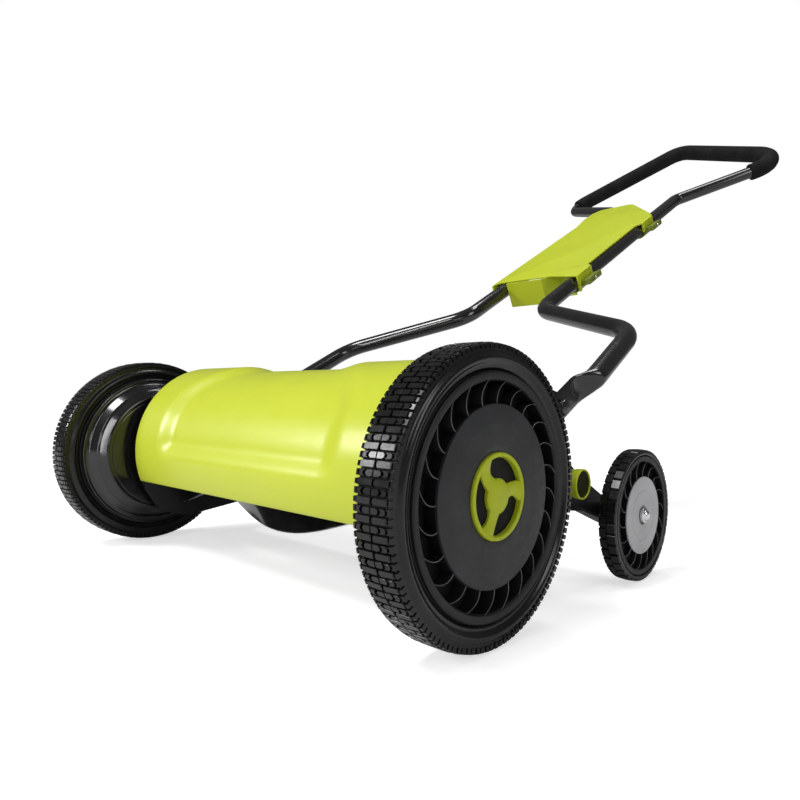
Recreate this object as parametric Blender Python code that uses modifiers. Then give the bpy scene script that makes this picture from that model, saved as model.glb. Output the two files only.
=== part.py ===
"""Push reel mower: two geared 10 in wheels drive a five-blade reel under a sheet deck, two 6 in rear
wheels sit on an adjustable carriage, and a bent tube handle carries a panel and a foam grip.

Frame: +Z up, and the front of the mower faces -Y. "Right" is the +X side, as it is seen from in front.
The origin is on the ground under the middle of the whole mower. Lengths are metres.
"""

import math

import bmesh
import bpy
from mathutils import Euler, Matrix, Vector

# ---- driving dimensions -------------------------------------------------------------------------
AXLE_Y = -0.58180            # front axle, measured back from the origin
GAP = 0.0003                # between pieces that touch
RUN = 0.0001                # running clearance of a shaft in its hole

WHEEL_R = 0.127             # 10 in front wheel
RIM_R = 0.104
WHEEL_IN, WHEEL_OUT = 0.2780, 0.3184
HUB_DISC_R, VENT_R = 0.0762, 0.0952
CAP_R = 0.0363
WHEEL_VANES = 24
AXLE_BOLT_R = 0.00635

REAR_WHEEL_R = 0.0762       # 6 in rear wheel
REAR_RIM_R = 0.0690
REAR_IN, REAR_OUT = 0.2947, 0.3136
REAR_DISC_R, REAR_VENT_R = 0.0446, 0.0623
REAR_VANES = 18
REAR_AXLE_R = 0.0050
WHEELBASE = 0.302

REEL_R, BLADE_ROOT_R = 0.078, 0.050
REEL_Y, REEL_Z = 0.0650, 0.1150     # from the front axle line, and from the ground
REEL_HALF = 0.228           # 18 in cut
BLADES = 5
TWIST = math.radians(0.257) / 0.001
FIRST_BLADE = math.radians(26)
SHAFT_R = 0.0075

RING_TEETH, PINION_TEETH = 48, 10
RING_OFFSET = math.hypot(REEL_Y, WHEEL_R - REEL_Z)
MODULE = 2 * RING_OFFSET / (RING_TEETH - PINION_TEETH)
PRESSURE = math.radians(20)
BACKLASH = 0.00045

PLATE_IN, PLATE_OUT, BLOCK_OUT = 0.2322, 0.2410, 0.2620
DECK_Y, DECK_Z, DECK_R = 0.0630, 0.1330, 0.1115
DECK_HALF, DECK_SHEET = 0.2319, 0.0024
PIVOT = (0.148, 0.108)      # rear carriage
KNOB = (0.205, 0.1172)      # height knob, at rest
BOLT_R = 0.0050
HANDLE_BOLT = (0.190, 0.2000)

TUBE_R, BORE_R = 0.0125, 0.0112
PLUG_R = 0.0100             # the lower tubes' ends, pushed into the upper tube
HANDLE_SLOPE = math.radians(28.93)
RUN_X = 0.073               # the two handle tubes, beside the panel
RUN_START = (0.4664, 0.3531)
FOAM_R = 0.0182

COLOURS = {                 # base colour, roughness, metallic
    "lime_paint": ((0.50, 0.62, 0.045), 0.30, 0.0),
    "lime_plastic": ((0.44, 0.56, 0.035), 0.42, 0.0),
    "olive_plastic": ((0.13, 0.17, 0.02), 0.45, 0.0),
    "black_paint": ((0.012, 0.012, 0.013), 0.25, 0.0),
    "black_plastic": ((0.015, 0.015, 0.016), 0.40, 0.0),
    "hub_plastic": ((0.055, 0.056, 0.058), 0.45, 0.0),
    "grey_plastic": ((0.36, 0.36, 0.37), 0.45, 0.0),
    "tyre_rubber": ((0.018, 0.018, 0.019), 0.65, 0.0),
    "foam_rubber": ((0.012, 0.012, 0.013), 0.90, 0.0),
    "steel": ((0.55, 0.55, 0.56), 0.35, 1.0),
    "chrome": ((0.80, 0.80, 0.82), 0.12, 1.0),
}


# ---- scene --------------------------------------------------------------------------------------
def clear_scene():
    for obj in list(bpy.data.objects):
        bpy.data.objects.remove(obj)


def new_collection(name):
    collection = bpy.data.collections.new(name)
    bpy.context.scene.collection.children.link(collection)
    return collection


def make_material(name):
    colour, roughness, metallic = COLOURS[name]
    made = bpy.data.materials.new(name)
    made.use_nodes = True
    shader = made.node_tree.nodes["Principled BSDF"]
    shader.inputs["Base Color"].default_value = (*colour, 1)
    shader.inputs["Roughness"].default_value = roughness
    shader.inputs["Metallic"].default_value = metallic
    return made


clear_scene()
PARTS = new_collection("reel_mower")
CUTTERS = new_collection("cutters")
CUTTERS.hide_render = True
SLOTS = {name: make_material(name) for name in COLOURS}

# An outline drawn in X and Y stands in the mower's Y and Z, and its thickness runs along +X.
SIDEWAYS = Euler((math.pi / 2, 0, math.pi / 2))
# A turned piece's own Z points outward: along +X on the +X side, and along -X on the other.
OUTWARD = {1: Euler((0, math.pi / 2, 0)), -1: Euler((0, -math.pi / 2, 0))}
SIDE_NAMES = {1: "right", -1: "left"}


def place(x, y, z):
    """A point measured from the ground under the middle of the front axle."""
    return Vector((x, AXLE_Y + y, z))


def axis_empty(name, where, parent=None):
    empty = bpy.data.objects.new(name, None)
    empty.empty_display_size = 0.03
    empty.location = where - (parent.location if parent else Vector((0, 0, 0)))
    empty.parent = parent
    PARTS.objects.link(empty)
    return empty


def origin_of(parent):
    total = Vector((0, 0, 0))
    while parent:
        total += parent.location
        parent = parent.parent
    return total


def finish(obj, slot, parent=None):
    """Gives a piece its material and its smooth shading, and hangs it from the empty on its axis."""
    obj.data.materials.clear()
    obj.data.materials.append(SLOTS[slot])
    if parent:
        obj.location = obj.location - origin_of(parent)
        obj.parent = parent
    if obj.type == "MESH" and obj.data.polygons:
        obj.data.shade_smooth()
        obj.data.set_sharp_from_angle(angle=math.radians(35))
    return obj


def linked(name, data, where=(0, 0, 0), turn=None, cutter=False):
    obj = bpy.data.objects.new(name, data)
    obj.location = where
    if turn:
        obj.rotation_euler = turn
    (CUTTERS if cutter else PARTS).objects.link(obj)
    if cutter:
        obj.hide_render = True
        obj.display_type = "WIRE"
    return obj


def mesh_from(name, bm):
    bmesh.ops.recalc_face_normals(bm, faces=bm.faces)
    mesh = bpy.data.meshes.new(name)
    bm.to_mesh(mesh)
    bm.free()
    return mesh


def as_mesh(curve_obj, cutter=False):
    """The curve's solid as a welded mesh object of the same name and place."""
    bpy.context.view_layer.update()
    graph = bpy.context.evaluated_depsgraph_get()
    mesh = bpy.data.meshes.new_from_object(curve_obj.evaluated_get(graph))
    bm = bmesh.new()
    bm.from_mesh(mesh)
    bmesh.ops.remove_doubles(bm, verts=bm.verts, dist=0.00001)
    bmesh.ops.recalc_face_normals(bm, faces=bm.faces)
    bm.to_mesh(mesh)
    bm.free()
    name, matrix = curve_obj.name, curve_obj.matrix_world.copy()
    bpy.data.objects.remove(curve_obj)
    made = linked(name, mesh, cutter=cutter)
    made.matrix_world = matrix
    return made


# ---- shape helpers ------------------------------------------------------------------------------
def flat(name, outlines, low, high, where=(0, 0, 0), turn=SIDEWAYS, cutter=False):
    """Closed outlines in X and Y, holes included, made solid from low to high along their own Z."""
    curve = bpy.data.curves.new(name, "CURVE")
    curve.dimensions = "2D"
    curve.fill_mode = "BOTH"
    curve.extrude = (high - low) / 2
    for outline in outlines:
        spline = curve.splines.new("POLY")
        spline.points.add(len(outline) - 1)
        for point, (x, y) in zip(spline.points, outline):
            point.co = (x, y, 0, 1)
        spline.use_cyclic_u = True
    turn = turn or Euler((0, 0, 0))
    middle = turn.to_matrix() @ Vector((0, 0, (low + high) / 2))
    return as_mesh(linked(name, curve, Vector(where) + middle, turn), cutter)


def turned(name, profile, segments, where, turn, closed=True, cutter=False):
    """Profile of (radius, height) points, run down its outer side, turned about its own Z."""
    bm = bmesh.new()
    verts = [bm.verts.new((radius, 0, height)) for radius, height in profile]
    for first, second in zip(verts, verts[1:] + ([verts[0]] if closed else [])):
        bm.edges.new((first, second))
    mesh = bpy.data.meshes.new(name)
    bm.to_mesh(mesh)
    bm.free()
    obj = linked(name, mesh, where, turn, cutter)
    screw = obj.modifiers.new("turn", "SCREW")
    screw.steps = screw.render_steps = segments
    screw.use_merge_vertices = True
    screw.merge_threshold = 0.00005
    screw.use_smooth_shade = True
    return obj


def cylinder(name, radius, low, high, where, turn=SIDEWAYS, segments=16, cutter=False):
    bm = bmesh.new()
    bmesh.ops.create_cone(bm, cap_ends=True, segments=segments, radius1=radius, radius2=radius,
                          depth=high - low)
    bmesh.ops.translate(bm, verts=bm.verts, vec=(0, 0, (low + high) / 2))
    return linked(name, mesh_from(name, bm), where, turn, cutter)


def box(name, low, high, cutter=False, turn=None, where=(0, 0, 0)):
    bm = bmesh.new()
    bmesh.ops.create_cube(bm, size=1)
    size = [b - a for a, b in zip(low, high)]
    bmesh.ops.scale(bm, verts=bm.verts, vec=size)
    bmesh.ops.translate(bm, verts=bm.verts, vec=[(a + b) / 2 for a, b in zip(low, high)])
    return linked(name, mesh_from(name, bm), where, turn, cutter)


def boolean(obj, other, operation="DIFFERENCE"):
    """Cuts or joins another solid, which becomes a hidden helper."""
    modifier = obj.modifiers.new(operation.lower(), "BOOLEAN")
    modifier.operation = operation
    modifier.object = other
    other.hide_render = True
    other.display_type = "WIRE"
    for collection in list(other.users_collection):
        collection.objects.unlink(other)
    CUTTERS.objects.link(other)
    return obj


def circle(radius, count=16, x=0.0, y=0.0, start=0.0):
    return [(x + radius * math.cos(start + 2 * math.pi * k / count),
             y + radius * math.sin(start + 2 * math.pi * k / count)) for k in range(count)]


def arc(x, y, radius, first, last, steps):
    """Points on an arc, its angles in degrees."""
    return [(x + radius * math.cos(math.radians(first + (last - first) * k / steps)),
             y + radius * math.sin(math.radians(first + (last - first) * k / steps)))
            for k in range(steps + 1)]


def rounded_path(points, radii, steps):
    """A polyline whose inner corners are replaced by arcs of the given radii."""
    path = [points[0]]
    for before, corner, after, radius in zip(points, points[1:], points[2:], radii):
        into, out = (corner - before).normalized(), (after - corner).normalized()
        angle = into.angle(out)
        start = corner - into * radius * math.tan(angle / 2)
        spin = into.cross(out).normalized()
        centre = start + spin.cross(into) * radius
        for k in range(steps + 1):
            path.append(centre + Matrix.Rotation(angle * k / steps, 3, spin) @ (start - centre))
    return path + [points[-1]]


def tube(name, path, radius, resolution=3, widths=None, cutter=False):
    curve = bpy.data.curves.new(name, "CURVE")
    curve.dimensions = "3D"
    curve.bevel_depth = radius
    curve.bevel_resolution = resolution
    curve.use_fill_caps = True
    spline = curve.splines.new("POLY")
    spline.points.add(len(path) - 1)
    for index, (point, where) in enumerate(zip(spline.points, path)):
        point.co = (*where, 1)
        point.radius = widths[index] if widths else 1
    return as_mesh(linked(name, curve), cutter)


# ---- gears --------------------------------------------------------------------------------------
def involute(angle):
    return math.tan(angle) - angle


def tooth_half_angle(radius, teeth, width, base):
    """Half the angle that a tooth of this pitch width fills at a radius."""
    pitch = MODULE * teeth / 2
    here = math.acos(min(1.0, base / max(radius, base)))
    return width / (2 * pitch) + involute(PRESSURE) - involute(here)


def gear_outline(teeth, width, tip, root, first):
    """An involute gear with one tooth's middle at the angle first."""
    base = MODULE * teeth / 2 * math.cos(PRESSURE)
    levels = [root, base, tip] if base > root else [root, tip]
    outline = []
    for tooth in range(teeth):
        middle = first + 2 * math.pi * tooth / teeth
        for radius in levels:
            half = tooth_half_angle(radius, teeth, width, base)
            outline.append((radius * math.cos(middle - half), radius * math.sin(middle - half)))
        for radius in reversed(levels):
            half = tooth_half_angle(radius, teeth, width, base)
            outline.append((radius * math.cos(middle + half), radius * math.sin(middle + half)))
    return outline


# ---- wheels -------------------------------------------------------------------------------------
def vane_outlines(count, inner, outer, lean, thick):
    """Thin curved vanes, each swept round by lean between the two radii."""
    outlines = []
    for k in range(count):
        start = 2 * math.pi * k / count
        sides = ([], [])
        for step in range(3):
            part = step / 2
            radius = inner + (outer - inner) * part
            angle = start + lean * part * part
            for side, sign in zip(sides, (-1, 1)):
                turn = angle + sign * thick / 2 / radius
                side.append((radius * math.cos(turn), radius * math.sin(turn)))
        outlines.append(sides[0] + sides[1][::-1])
    return outlines


def front_wheel(side):
    name = SIDE_NAMES[side]
    hub = axis_empty(f"{name}_wheel_axis", place(0, 0, WHEEL_R))
    turn = OUTWARD[side]
    centre = place(0, 0, WHEEL_R)
    tyre = turned(f"{name}_tyre", [
        (0.1215, WHEEL_OUT), (0.1262, 0.3172), (WHEEL_R, 0.3145), (WHEEL_R, 0.2819), (0.1262, 0.2792),
        (0.1215, WHEEL_IN), (0.1120, WHEEL_IN), (RIM_R + GAP, 0.2798), (RIM_R + GAP, 0.3134),
        (0.1125, WHEEL_OUT)], 40, centre, turn)
    finish(tyre, "tyre_rubber", hub)

    pitch = MODULE * RING_TEETH / 2
    tip = pitch - 0.85 * MODULE
    rim = turned(f"{name}_wheel_rim", [
        (RIM_R, 0.3134), (RIM_R, 0.2798), (tip, 0.2798), (tip, 0.2970),
        (0.0170, 0.2970), (0.0170, 0.2798), (AXLE_BOLT_R + RUN, 0.2798), (AXLE_BOLT_R + RUN, 0.3040),
        (0.0140, 0.3040), (0.0140, 0.3140), (CAP_R + 0.0004, 0.3140), (CAP_R + 0.0004, 0.3178),
        (HUB_DISC_R, 0.3183), (HUB_DISC_R, 0.3030), (VENT_R, 0.3030), (VENT_R, 0.3172),
        (0.1010, 0.3172)], 30, centre, turn)
    # A tooth space of the ring, and a tooth of the pinion, lie on the line of centres.
    space_width = MODULE * math.pi / 2 + BACKLASH
    spaces = flat(f"{name}_ring_teeth",
                  [gear_outline(RING_TEETH, space_width, pitch + 1.15 * MODULE, tip - 0.0010,
                                reel_direction(side)), circle(tip - 0.0022, RING_TEETH)],
                  0.2790, 0.2968, centre, turn, cutter=True)
    boolean(rim, spaces)
    vanes = flat(f"{name}_vanes", vane_outlines(WHEEL_VANES, HUB_DISC_R - 0.001, VENT_R + 0.001,
                                                math.radians(-9), 0.0016),
                 0.3020, 0.3160, centre, turn, cutter=True)
    boolean(rim, vanes, "UNION")
    finish(rim, "hub_plastic", hub)

    windows = [circle(CAP_R, 32)]
    for k in range(3):
        middle = 120 * k + 90
        windows.append(arc(0, 0, 0.0285, middle - 47, middle + 47, 7)
                       + arc(0, 0, 0.0125, middle + 34, middle - 34, 3))
    cap = flat(f"{name}_hub_cap", windows, 0.3143, 0.3208, centre, turn)
    finish(cap, "lime_plastic", hub)
    return hub


def reel_direction(side):
    """The angle, in an outward-turned piece's own plane, from the wheel's centre to the reel's."""
    # On the +X side own X points down and own Y along +Y; on the other side own X points up.
    return math.atan2(REEL_Y, side * (WHEEL_R - REEL_Z))


def pinion(side):
    name = SIDE_NAMES[side]
    centre = place(0, REEL_Y, REEL_Z)
    hub = axis_empty(f"{name}_pinion_axis", centre)
    pitch = MODULE * PINION_TEETH / 2
    width = MODULE * math.pi / 2 - BACKLASH
    outline = gear_outline(PINION_TEETH, width, pitch + 0.80 * MODULE, pitch - 1.15 * MODULE,
                           reel_direction(side))
    gear = flat(f"{name}_pinion", [outline, circle(SHAFT_R + 2 * RUN, 16)], 0.2815, 0.2955, centre,
                OUTWARD[side])
    boolean(gear, cylinder(f"{name}_pinion_recess", 0.0113, 0.2800, 0.2895, centre, OUTWARD[side],
                           cutter=True))
    return finish(gear, "steel", hub)


def rear_wheel(side, carriage):
    name = SIDE_NAMES[side]
    centre = place(0, WHEELBASE, REAR_WHEEL_R)
    hub = axis_empty(f"{name}_rear_wheel_axis", centre, carriage)
    turn = OUTWARD[side]
    tyre = turned(f"{name}_rear_tyre", [
        (REAR_WHEEL_R, 0.3105), (REAR_WHEEL_R, 0.2972), (0.0710, REAR_IN),
        (REAR_RIM_R + GAP, 0.2958), (REAR_RIM_R + GAP, 0.3124), (0.0715, REAR_OUT)], 32, centre,
        turn)
    finish(tyre, "tyre_rubber", hub)
    rim = turned(f"{name}_rear_rim", [
        (REAR_RIM_R, 0.3122), (REAR_RIM_R, 0.2960), (0.0600, 0.2960), (0.0600, 0.3030),
        (0.0140, 0.3030), (0.0140, 0.2952), (REAR_AXLE_R + RUN, 0.2952), (REAR_AXLE_R + RUN, 0.3090),
        (0.0110, 0.3090), (0.0110, 0.3128), (REAR_DISC_R, 0.3134), (REAR_DISC_R, 0.3055),
        (REAR_VENT_R, 0.3055), (REAR_VENT_R, 0.3130), (0.0672, 0.3132)], 24, centre, turn)
    vanes = flat(f"{name}_rear_vanes", vane_outlines(REAR_VANES, REAR_DISC_R - 0.001,
                                                     REAR_VENT_R + 0.001, math.radians(-11), 0.0014),
                 0.3045, 0.3118, centre, turn, cutter=True)
    boolean(rim, vanes, "UNION")
    finish(rim, "grey_plastic", hub)


# ---- side frames --------------------------------------------------------------------------------
def plate_outline():
    front = [(DECK_Y - 0.1105 * math.cos(math.radians(a)), DECK_Z + 0.1105 * math.sin(math.radians(a)))
             for a in range(-30, 101, 18)]
    rear = [(0.158, 0.2230), (0.192, 0.2165), (0.204, 0.2040), (0.207, 0.1700), (0.220, 0.1400),
            (0.222, 0.1120), (0.206, 0.0820), (0.168, 0.0560), (0.130, 0.0500), (0.093, 0.0446),
            (0.048, 0.0384), (0.020, 0.0372), (-0.012, 0.0470)]
    return front + rear


def block_outline():
    return [(0.134, 0.0700), (0.134, 0.2130), (0.158, 0.2230), (0.192, 0.2165), (0.204, 0.2040),
            (0.207, 0.1700), (0.220, 0.1400), (0.222, 0.1120), (0.206, 0.0820), (0.160, 0.0560)]


def detent_slot():
    """The arc that the height knob's pin runs in, with its nine notches on the outer edge."""
    radius = math.hypot(KNOB[0] - PIVOT[0], KNOB[1] - PIVOT[1])
    rest = math.degrees(math.atan2(KNOB[1] - PIVOT[1], KNOB[0] - PIVOT[0]))
    outer = []
    for notch in range(9):
        middle = rest - 25 + 5 * notch
        outer += [(radius + reach, middle + step)
                  for step, reach in ((-1.6, 0.0034), (0.0, 0.0050), (1.6, 0.0034))]
    inner = [(radius - 0.0034, rest + 19 - 44 * k / 8) for k in range(9)]
    ends = [(radius + 0.0020, rest + 20.4), (radius - 0.0020, rest + 20.4)]
    start = [(radius - 0.0020, rest - 30.4), (radius + 0.0020, rest - 30.4)]
    return [(PIVOT[0] + r * math.cos(math.radians(a)), PIVOT[1] + r * math.sin(math.radians(a)))
            for r, a in outer + ends + inner + start]


def span(side, low, high):
    return (low, high) if side > 0 else (-high, -low)


def side_plate(side):
    name = SIDE_NAMES[side]
    ground = place(0, 0, 0)
    plate = flat(f"{name}_side_plate", [plate_outline()], *span(side, PLATE_IN, PLATE_OUT), ground)
    block = flat(f"{name}_block", [block_outline()], *span(side, PLATE_IN + 0.001, BLOCK_OUT), ground,
                 cutter=True)
    boolean(plate, block, "UNION")
    for label, radius, y, z, reach in (("axle", 0.020, 0, WHEEL_R, 0.2790),
                                       ("reel", 0.022, REEL_Y, REEL_Z, BLOCK_OUT)):
        boss = cylinder(f"{name}_{label}_boss", radius, *span(side, PLATE_IN + 0.002, reach),
                        place(0, y, z), cutter=True)
        boolean(plate, boss, "UNION")
    for label, radius, y, z in (("axle", AXLE_BOLT_R + GAP, 0, WHEEL_R),
                                ("bearing", 0.0160, REEL_Y, REEL_Z),
                                ("pivot", BOLT_R + GAP, *PIVOT),
                                ("handle", BOLT_R + GAP, *HANDLE_BOLT)):
        hole = cylinder(f"{name}_{label}_hole", radius, *span(side, 0.2300, 0.2850), place(0, y, z),
                        cutter=True)
        boolean(plate, hole)
    slot = flat(f"{name}_detent", [detent_slot()], *span(side, 0.2555, 0.2650), ground, cutter=True)
    boolean(plate, slot)
    return finish(plate, "black_plastic")


def gear_cover(side):
    """A dished disc that closes the wheel's geared side."""
    name = SIDE_NAMES[side]
    cover = turned(f"{name}_gear_cover", [
        (0.1022, 0.2766), (0.1022, 0.2722), (0.0955, 0.2722), (0.0800, 0.2500), (0.0200, 0.2500),
        (0.0200, 0.2525), (0.0784, 0.2525), (0.0945, 0.2766)], 28,
        place(0, 0, WHEEL_R), OUTWARD[side])
    for label, radius, y, z in (("axle", 0.0206, 0, WHEEL_R), ("reel", 0.0226, REEL_Y, REEL_Z)):
        boolean(cover, cylinder(f"{name}_cover_{label}", radius, *span(side, 0.2400, 0.2900),
                                place(0, y, z), cutter=True))
    return finish(cover, "black_plastic")


def hex_bolt(name, side, where, shank_r, low, high, head_r, head, slot="steel"):
    """A shank from low to high along X, and a hexagonal head of the given thickness beyond it."""
    bolt = cylinder(name, shank_r, *span(side, low, high + head / 2), where)
    cap = cylinder(f"{name}_head", head_r, *span(side, high, high + head), where, segments=6,
                   cutter=True)
    boolean(bolt, cap, "UNION")
    return finish(bolt, slot)


def bearing(side):
    name = SIDE_NAMES[side]
    ring = turned(f"{name}_reel_bearing", [
        (0.0157, 0.2520), (0.0157, 0.2400), (SHAFT_R + 2 * RUN, 0.2400), (SHAFT_R + 2 * RUN, 0.2520)], 16,
        place(0, REEL_Y, REEL_Z), OUTWARD[side])
    return finish(ring, "steel")


# ---- deck, knife and tie bar --------------------------------------------------------------------
def smooth_step(value):
    value = max(0.0, min(1.0, value))
    return value * value * (3 - 2 * value)


def deck_point(across, round_):
    """A point of the deck sheet: across is X, and round_ is 0 at the front and 90 degrees on top."""
    # The middle of the sheet is pressed in, in a panel that narrows from the front to the top.
    upper = smooth_step((round_ - 30) / 60)
    edge = 0.160 - (0.046 if across < 0 else 0.078) * upper
    blend = 0.016 + (0.0 if across < 0 else 0.010) * upper
    pressed = smooth_step((edge + blend - abs(across)) / (2 * blend)) * smooth_step((round_ + 4) / 12)
    radius = DECK_R - 0.0072 * pressed
    angle = math.radians(round_)
    return place(across, DECK_Y - radius * math.cos(angle), DECK_Z + radius * math.sin(angle))


def deck_cover():
    stations = [-1.0, -0.86, -0.76, -0.68, -0.61, -0.54, -0.48, -0.41, 0.0,
                0.24, 0.32, 0.40, 0.49, 0.60, 0.68, 0.76, 0.86, 1.0]
    angles = [-22, -5, 2, 9, 20, 32, 46, 60, 74, 88, 103, 118, 134]
    bm = bmesh.new()
    bmesh.ops.create_grid(bm, x_segments=len(stations) - 1, y_segments=len(angles) - 1, size=1)
    bm.verts.ensure_lookup_table()
    for vert in bm.verts:
        column = round((vert.co.x + 1) / 2 * (len(stations) - 1))
        row = round((vert.co.y + 1) / 2 * (len(angles) - 1))
        vert.co = deck_point(stations[column] * DECK_HALF, angles[row])
    mesh = bpy.data.meshes.new("deck_cover")
    bm.to_mesh(mesh)
    bm.free()
    deck = linked("deck_cover", mesh)
    sheet = deck.modifiers.new("sheet", "SOLIDIFY")
    sheet.thickness = DECK_SHEET
    sheet.offset = -1
    sheet.use_even_offset = True
    return finish(deck, "lime_paint")


def cutter_bar():
    """An angle bar behind the reel, over the fixed knife."""
    outline = [(0.1300, 0.0591), (0.1600, 0.0591), (0.1600, 0.0980), (0.1562, 0.0980),
               (0.1562, 0.0629), (0.1300, 0.0629)]
    bar = flat("cutter_bar", [outline], -0.2319, 0.2319, place(0, 0, 0))
    for side in (-1, 1):
        boolean(bar, cylinder(f"bar_hole_{side}", 0.0036, 0.0500, 0.0700, place(side * 0.15, 0.1430, 0),
                              Euler((0, 0, 0)), 16, cutter=True))
    finish(bar, "black_paint")
    knife = flat("bed_knife", [[(0.1198, 0.0588), (0.1224, 0.0558), (0.1500, 0.0558),
                                (0.1500, 0.0588)]], -0.2280, 0.2280, place(0, 0, 0))
    for side in (-1, 1):
        boolean(knife, cylinder(f"knife_hole_{side}", 0.0036, 0.0500, 0.0700,
                                place(side * 0.15, 0.1430, 0), Euler((0, 0, 0)), 16, cutter=True))
    finish(knife, "steel")
    for side in (-1, 1):
        name = f"{SIDE_NAMES[side]}_knife_screw"
        screw = turned(name, [(0, 0.0710), (0.0060, 0.0710), (0.0060, 0.0632), (0.0033, 0.0632),
                              (0.0033, 0.0533), (0, 0.0533)], 16, place(side * 0.15, 0.1430, 0), None,
                       closed=False)
        finish(screw, "steel")


def tie_bar():
    where = place(0, 0.172, 0.1900)
    bar = cylinder("tie_bar", 0.0110, -0.2319, 0.2319, where)
    boolean(bar, cylinder("tie_bar_bore", 0.0092, -0.2400, 0.2400, where, cutter=True))
    return finish(bar, "black_paint")


# ---- reel ---------------------------------------------------------------------------------------
def blade_angle(across, index):
    """The blade's angle in the shaft's own plane, at a place along it."""
    return -math.pi / 2 - FIRST_BLADE - 2 * math.pi * index / BLADES - TWIST * across


def reel_blade(index, shaft_axis):
    """A flat bar, set on edge and twisted along the shaft, with its outer edge ground back."""
    bm = bmesh.new()
    bmesh.ops.create_cube(bm, size=1)
    long_edges = [e for e in bm.edges if abs(e.verts[0].co.z - e.verts[1].co.z) > 0.5]
    bmesh.ops.subdivide_edges(bm, edges=long_edges, cuts=17, use_grid_fill=True)
    for vert in bm.verts:
        outer, trailing = vert.co.x > 0, vert.co.y > 0
        radius = REEL_R if outer else BLADE_ROOT_R
        if outer and trailing:
            radius -= 0.0022
        along = vert.co.z * 2 * REEL_HALF
        thick = vert.co.y * 0.0040
        angle = blade_angle(along, index)
        vert.co = (radius * math.cos(angle) - thick * math.sin(angle),
                   radius * math.sin(angle) + thick * math.cos(angle), along)
    name = f"reel_blade_{index + 1}"
    blade = linked(name, mesh_from(name, bm), place(0, REEL_Y, REEL_Z), SIDEWAYS)
    return finish(blade, "black_paint", shaft_axis)


def reel_spider(label, across, shaft_axis):
    """A five-armed steel plate that carries the blades."""
    outline = []
    for index in range(BLADES):
        middle = blade_angle(across, -index)
        for radius, half in ((0.0150, 0.60), (0.0300, 0.17), (BLADE_ROOT_R - 0.0006, 0.13)):
            outline.append((radius * math.cos(middle - half), radius * math.sin(middle - half)))
        for radius, half in ((BLADE_ROOT_R - 0.0006, 0.13), (0.0300, 0.17), (0.0150, 0.60)):
            outline.append((radius * math.cos(middle + half), radius * math.sin(middle + half)))
    spider = flat(f"reel_spider_{label}", [outline, circle(SHAFT_R + 2 * RUN, 16)], across - 0.002,
                  across + 0.002, place(0, REEL_Y, REEL_Z))
    return finish(spider, "black_paint", shaft_axis)


def reel():
    centre = place(0, REEL_Y, REEL_Z)
    axis = axis_empty("reel_axis", centre)
    shaft = cylinder("reel_shaft", SHAFT_R, -0.2945, 0.2945, centre)
    for side in (-1, 1):
        low, high = span(side, 0.2820, 0.2880)
        boolean(shaft, box(f"key_slot_{side}", (low, -0.0026, -0.0120), (high, 0.0026, 0.0120),
                           cutter=True, where=centre))
        low, high = span(side, 0.2823, 0.2877)
        key = box(f"{SIDE_NAMES[side]}_drive_key", (low, -0.0023, -0.0104), (high, 0.0023, 0.0104),
                  where=centre)
        finish(key, "steel", axis)
    finish(shaft, "steel", axis)
    for index in range(BLADES):
        reel_blade(index, axis)
    for label, across in (("left", -0.205), ("middle", 0.0), ("right", 0.205)):
        reel_spider(label, across, axis)


# ---- rear carriage ------------------------------------------------------------------------------
def arm_outline():
    top = arc(*PIVOT, 0.0200, 200, 95, 6)
    shoulder = [(0.185, 0.1390), (0.210, 0.1390), (0.236, 0.1220), (0.290, 0.0960)]
    tip = arc(WHEELBASE, REAR_WHEEL_R, 0.0170, 70, -100, 6)
    under = [(0.285, 0.0640), (0.229, 0.0840), (0.180, 0.0900)]
    return top + shoulder + tip + under


def rear_arm(side, carriage):
    name = SIDE_NAMES[side]
    ground = place(0, 0, 0)
    arm = flat(f"{name}_rear_arm", [arm_outline()], *span(side, BLOCK_OUT + GAP, 0.2670), ground)
    flange = flat(f"{name}_arm_flange", [[(0.178, 0.0905), (0.229, 0.0844), (0.287, 0.0637),
                                          (0.288, 0.0665), (0.230, 0.0874), (0.179, 0.0936)]],
                  *span(side, 0.2640, 0.2760), ground, cutter=True)
    boolean(arm, flange, "UNION")
    boss = cylinder(f"{name}_arm_boss", 0.0115, *span(side, 0.2640, 0.2945),
                    place(0, WHEELBASE, REAR_WHEEL_R), cutter=True)
    boolean(arm, boss, "UNION")
    for label, radius, y, z in (("pivot", BOLT_R + RUN, *PIVOT), ("knob", 0.0030, *KNOB),
                                ("axle", REAR_AXLE_R + RUN, WHEELBASE, REAR_WHEEL_R)):
        boolean(arm, cylinder(f"{name}_arm_{label}", radius, *span(side, 0.2500, 0.3000),
                              place(0, y, z), cutter=True))
    finish(arm, "black_plastic", carriage)
    hex_bolt(f"{name}_pivot_bolt", side, place(0, *PIVOT), BOLT_R, 0.2380, 0.2674, 0.0092, 0.0060)


def height_knob(side, carriage):
    """A cup that is pulled outward to lift its pin out of a notch."""
    name = SIDE_NAMES[side]
    where = place(0, *KNOB)
    axis = axis_empty(f"{name}_knob_axis", where, carriage)
    knob = turned(f"{name}_height_knob", [
        (0, 0.2745), (0.0132, 0.2745), (0.0146, 0.2880), (0.0166, 0.2880), (0.0157, 0.2678),
        (0.0024, 0.2678), (0.0024, 0.2562), (0, 0.2562)], 20, where, OUTWARD[side], closed=False)
    return finish(knob, "lime_plastic", axis)


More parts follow.
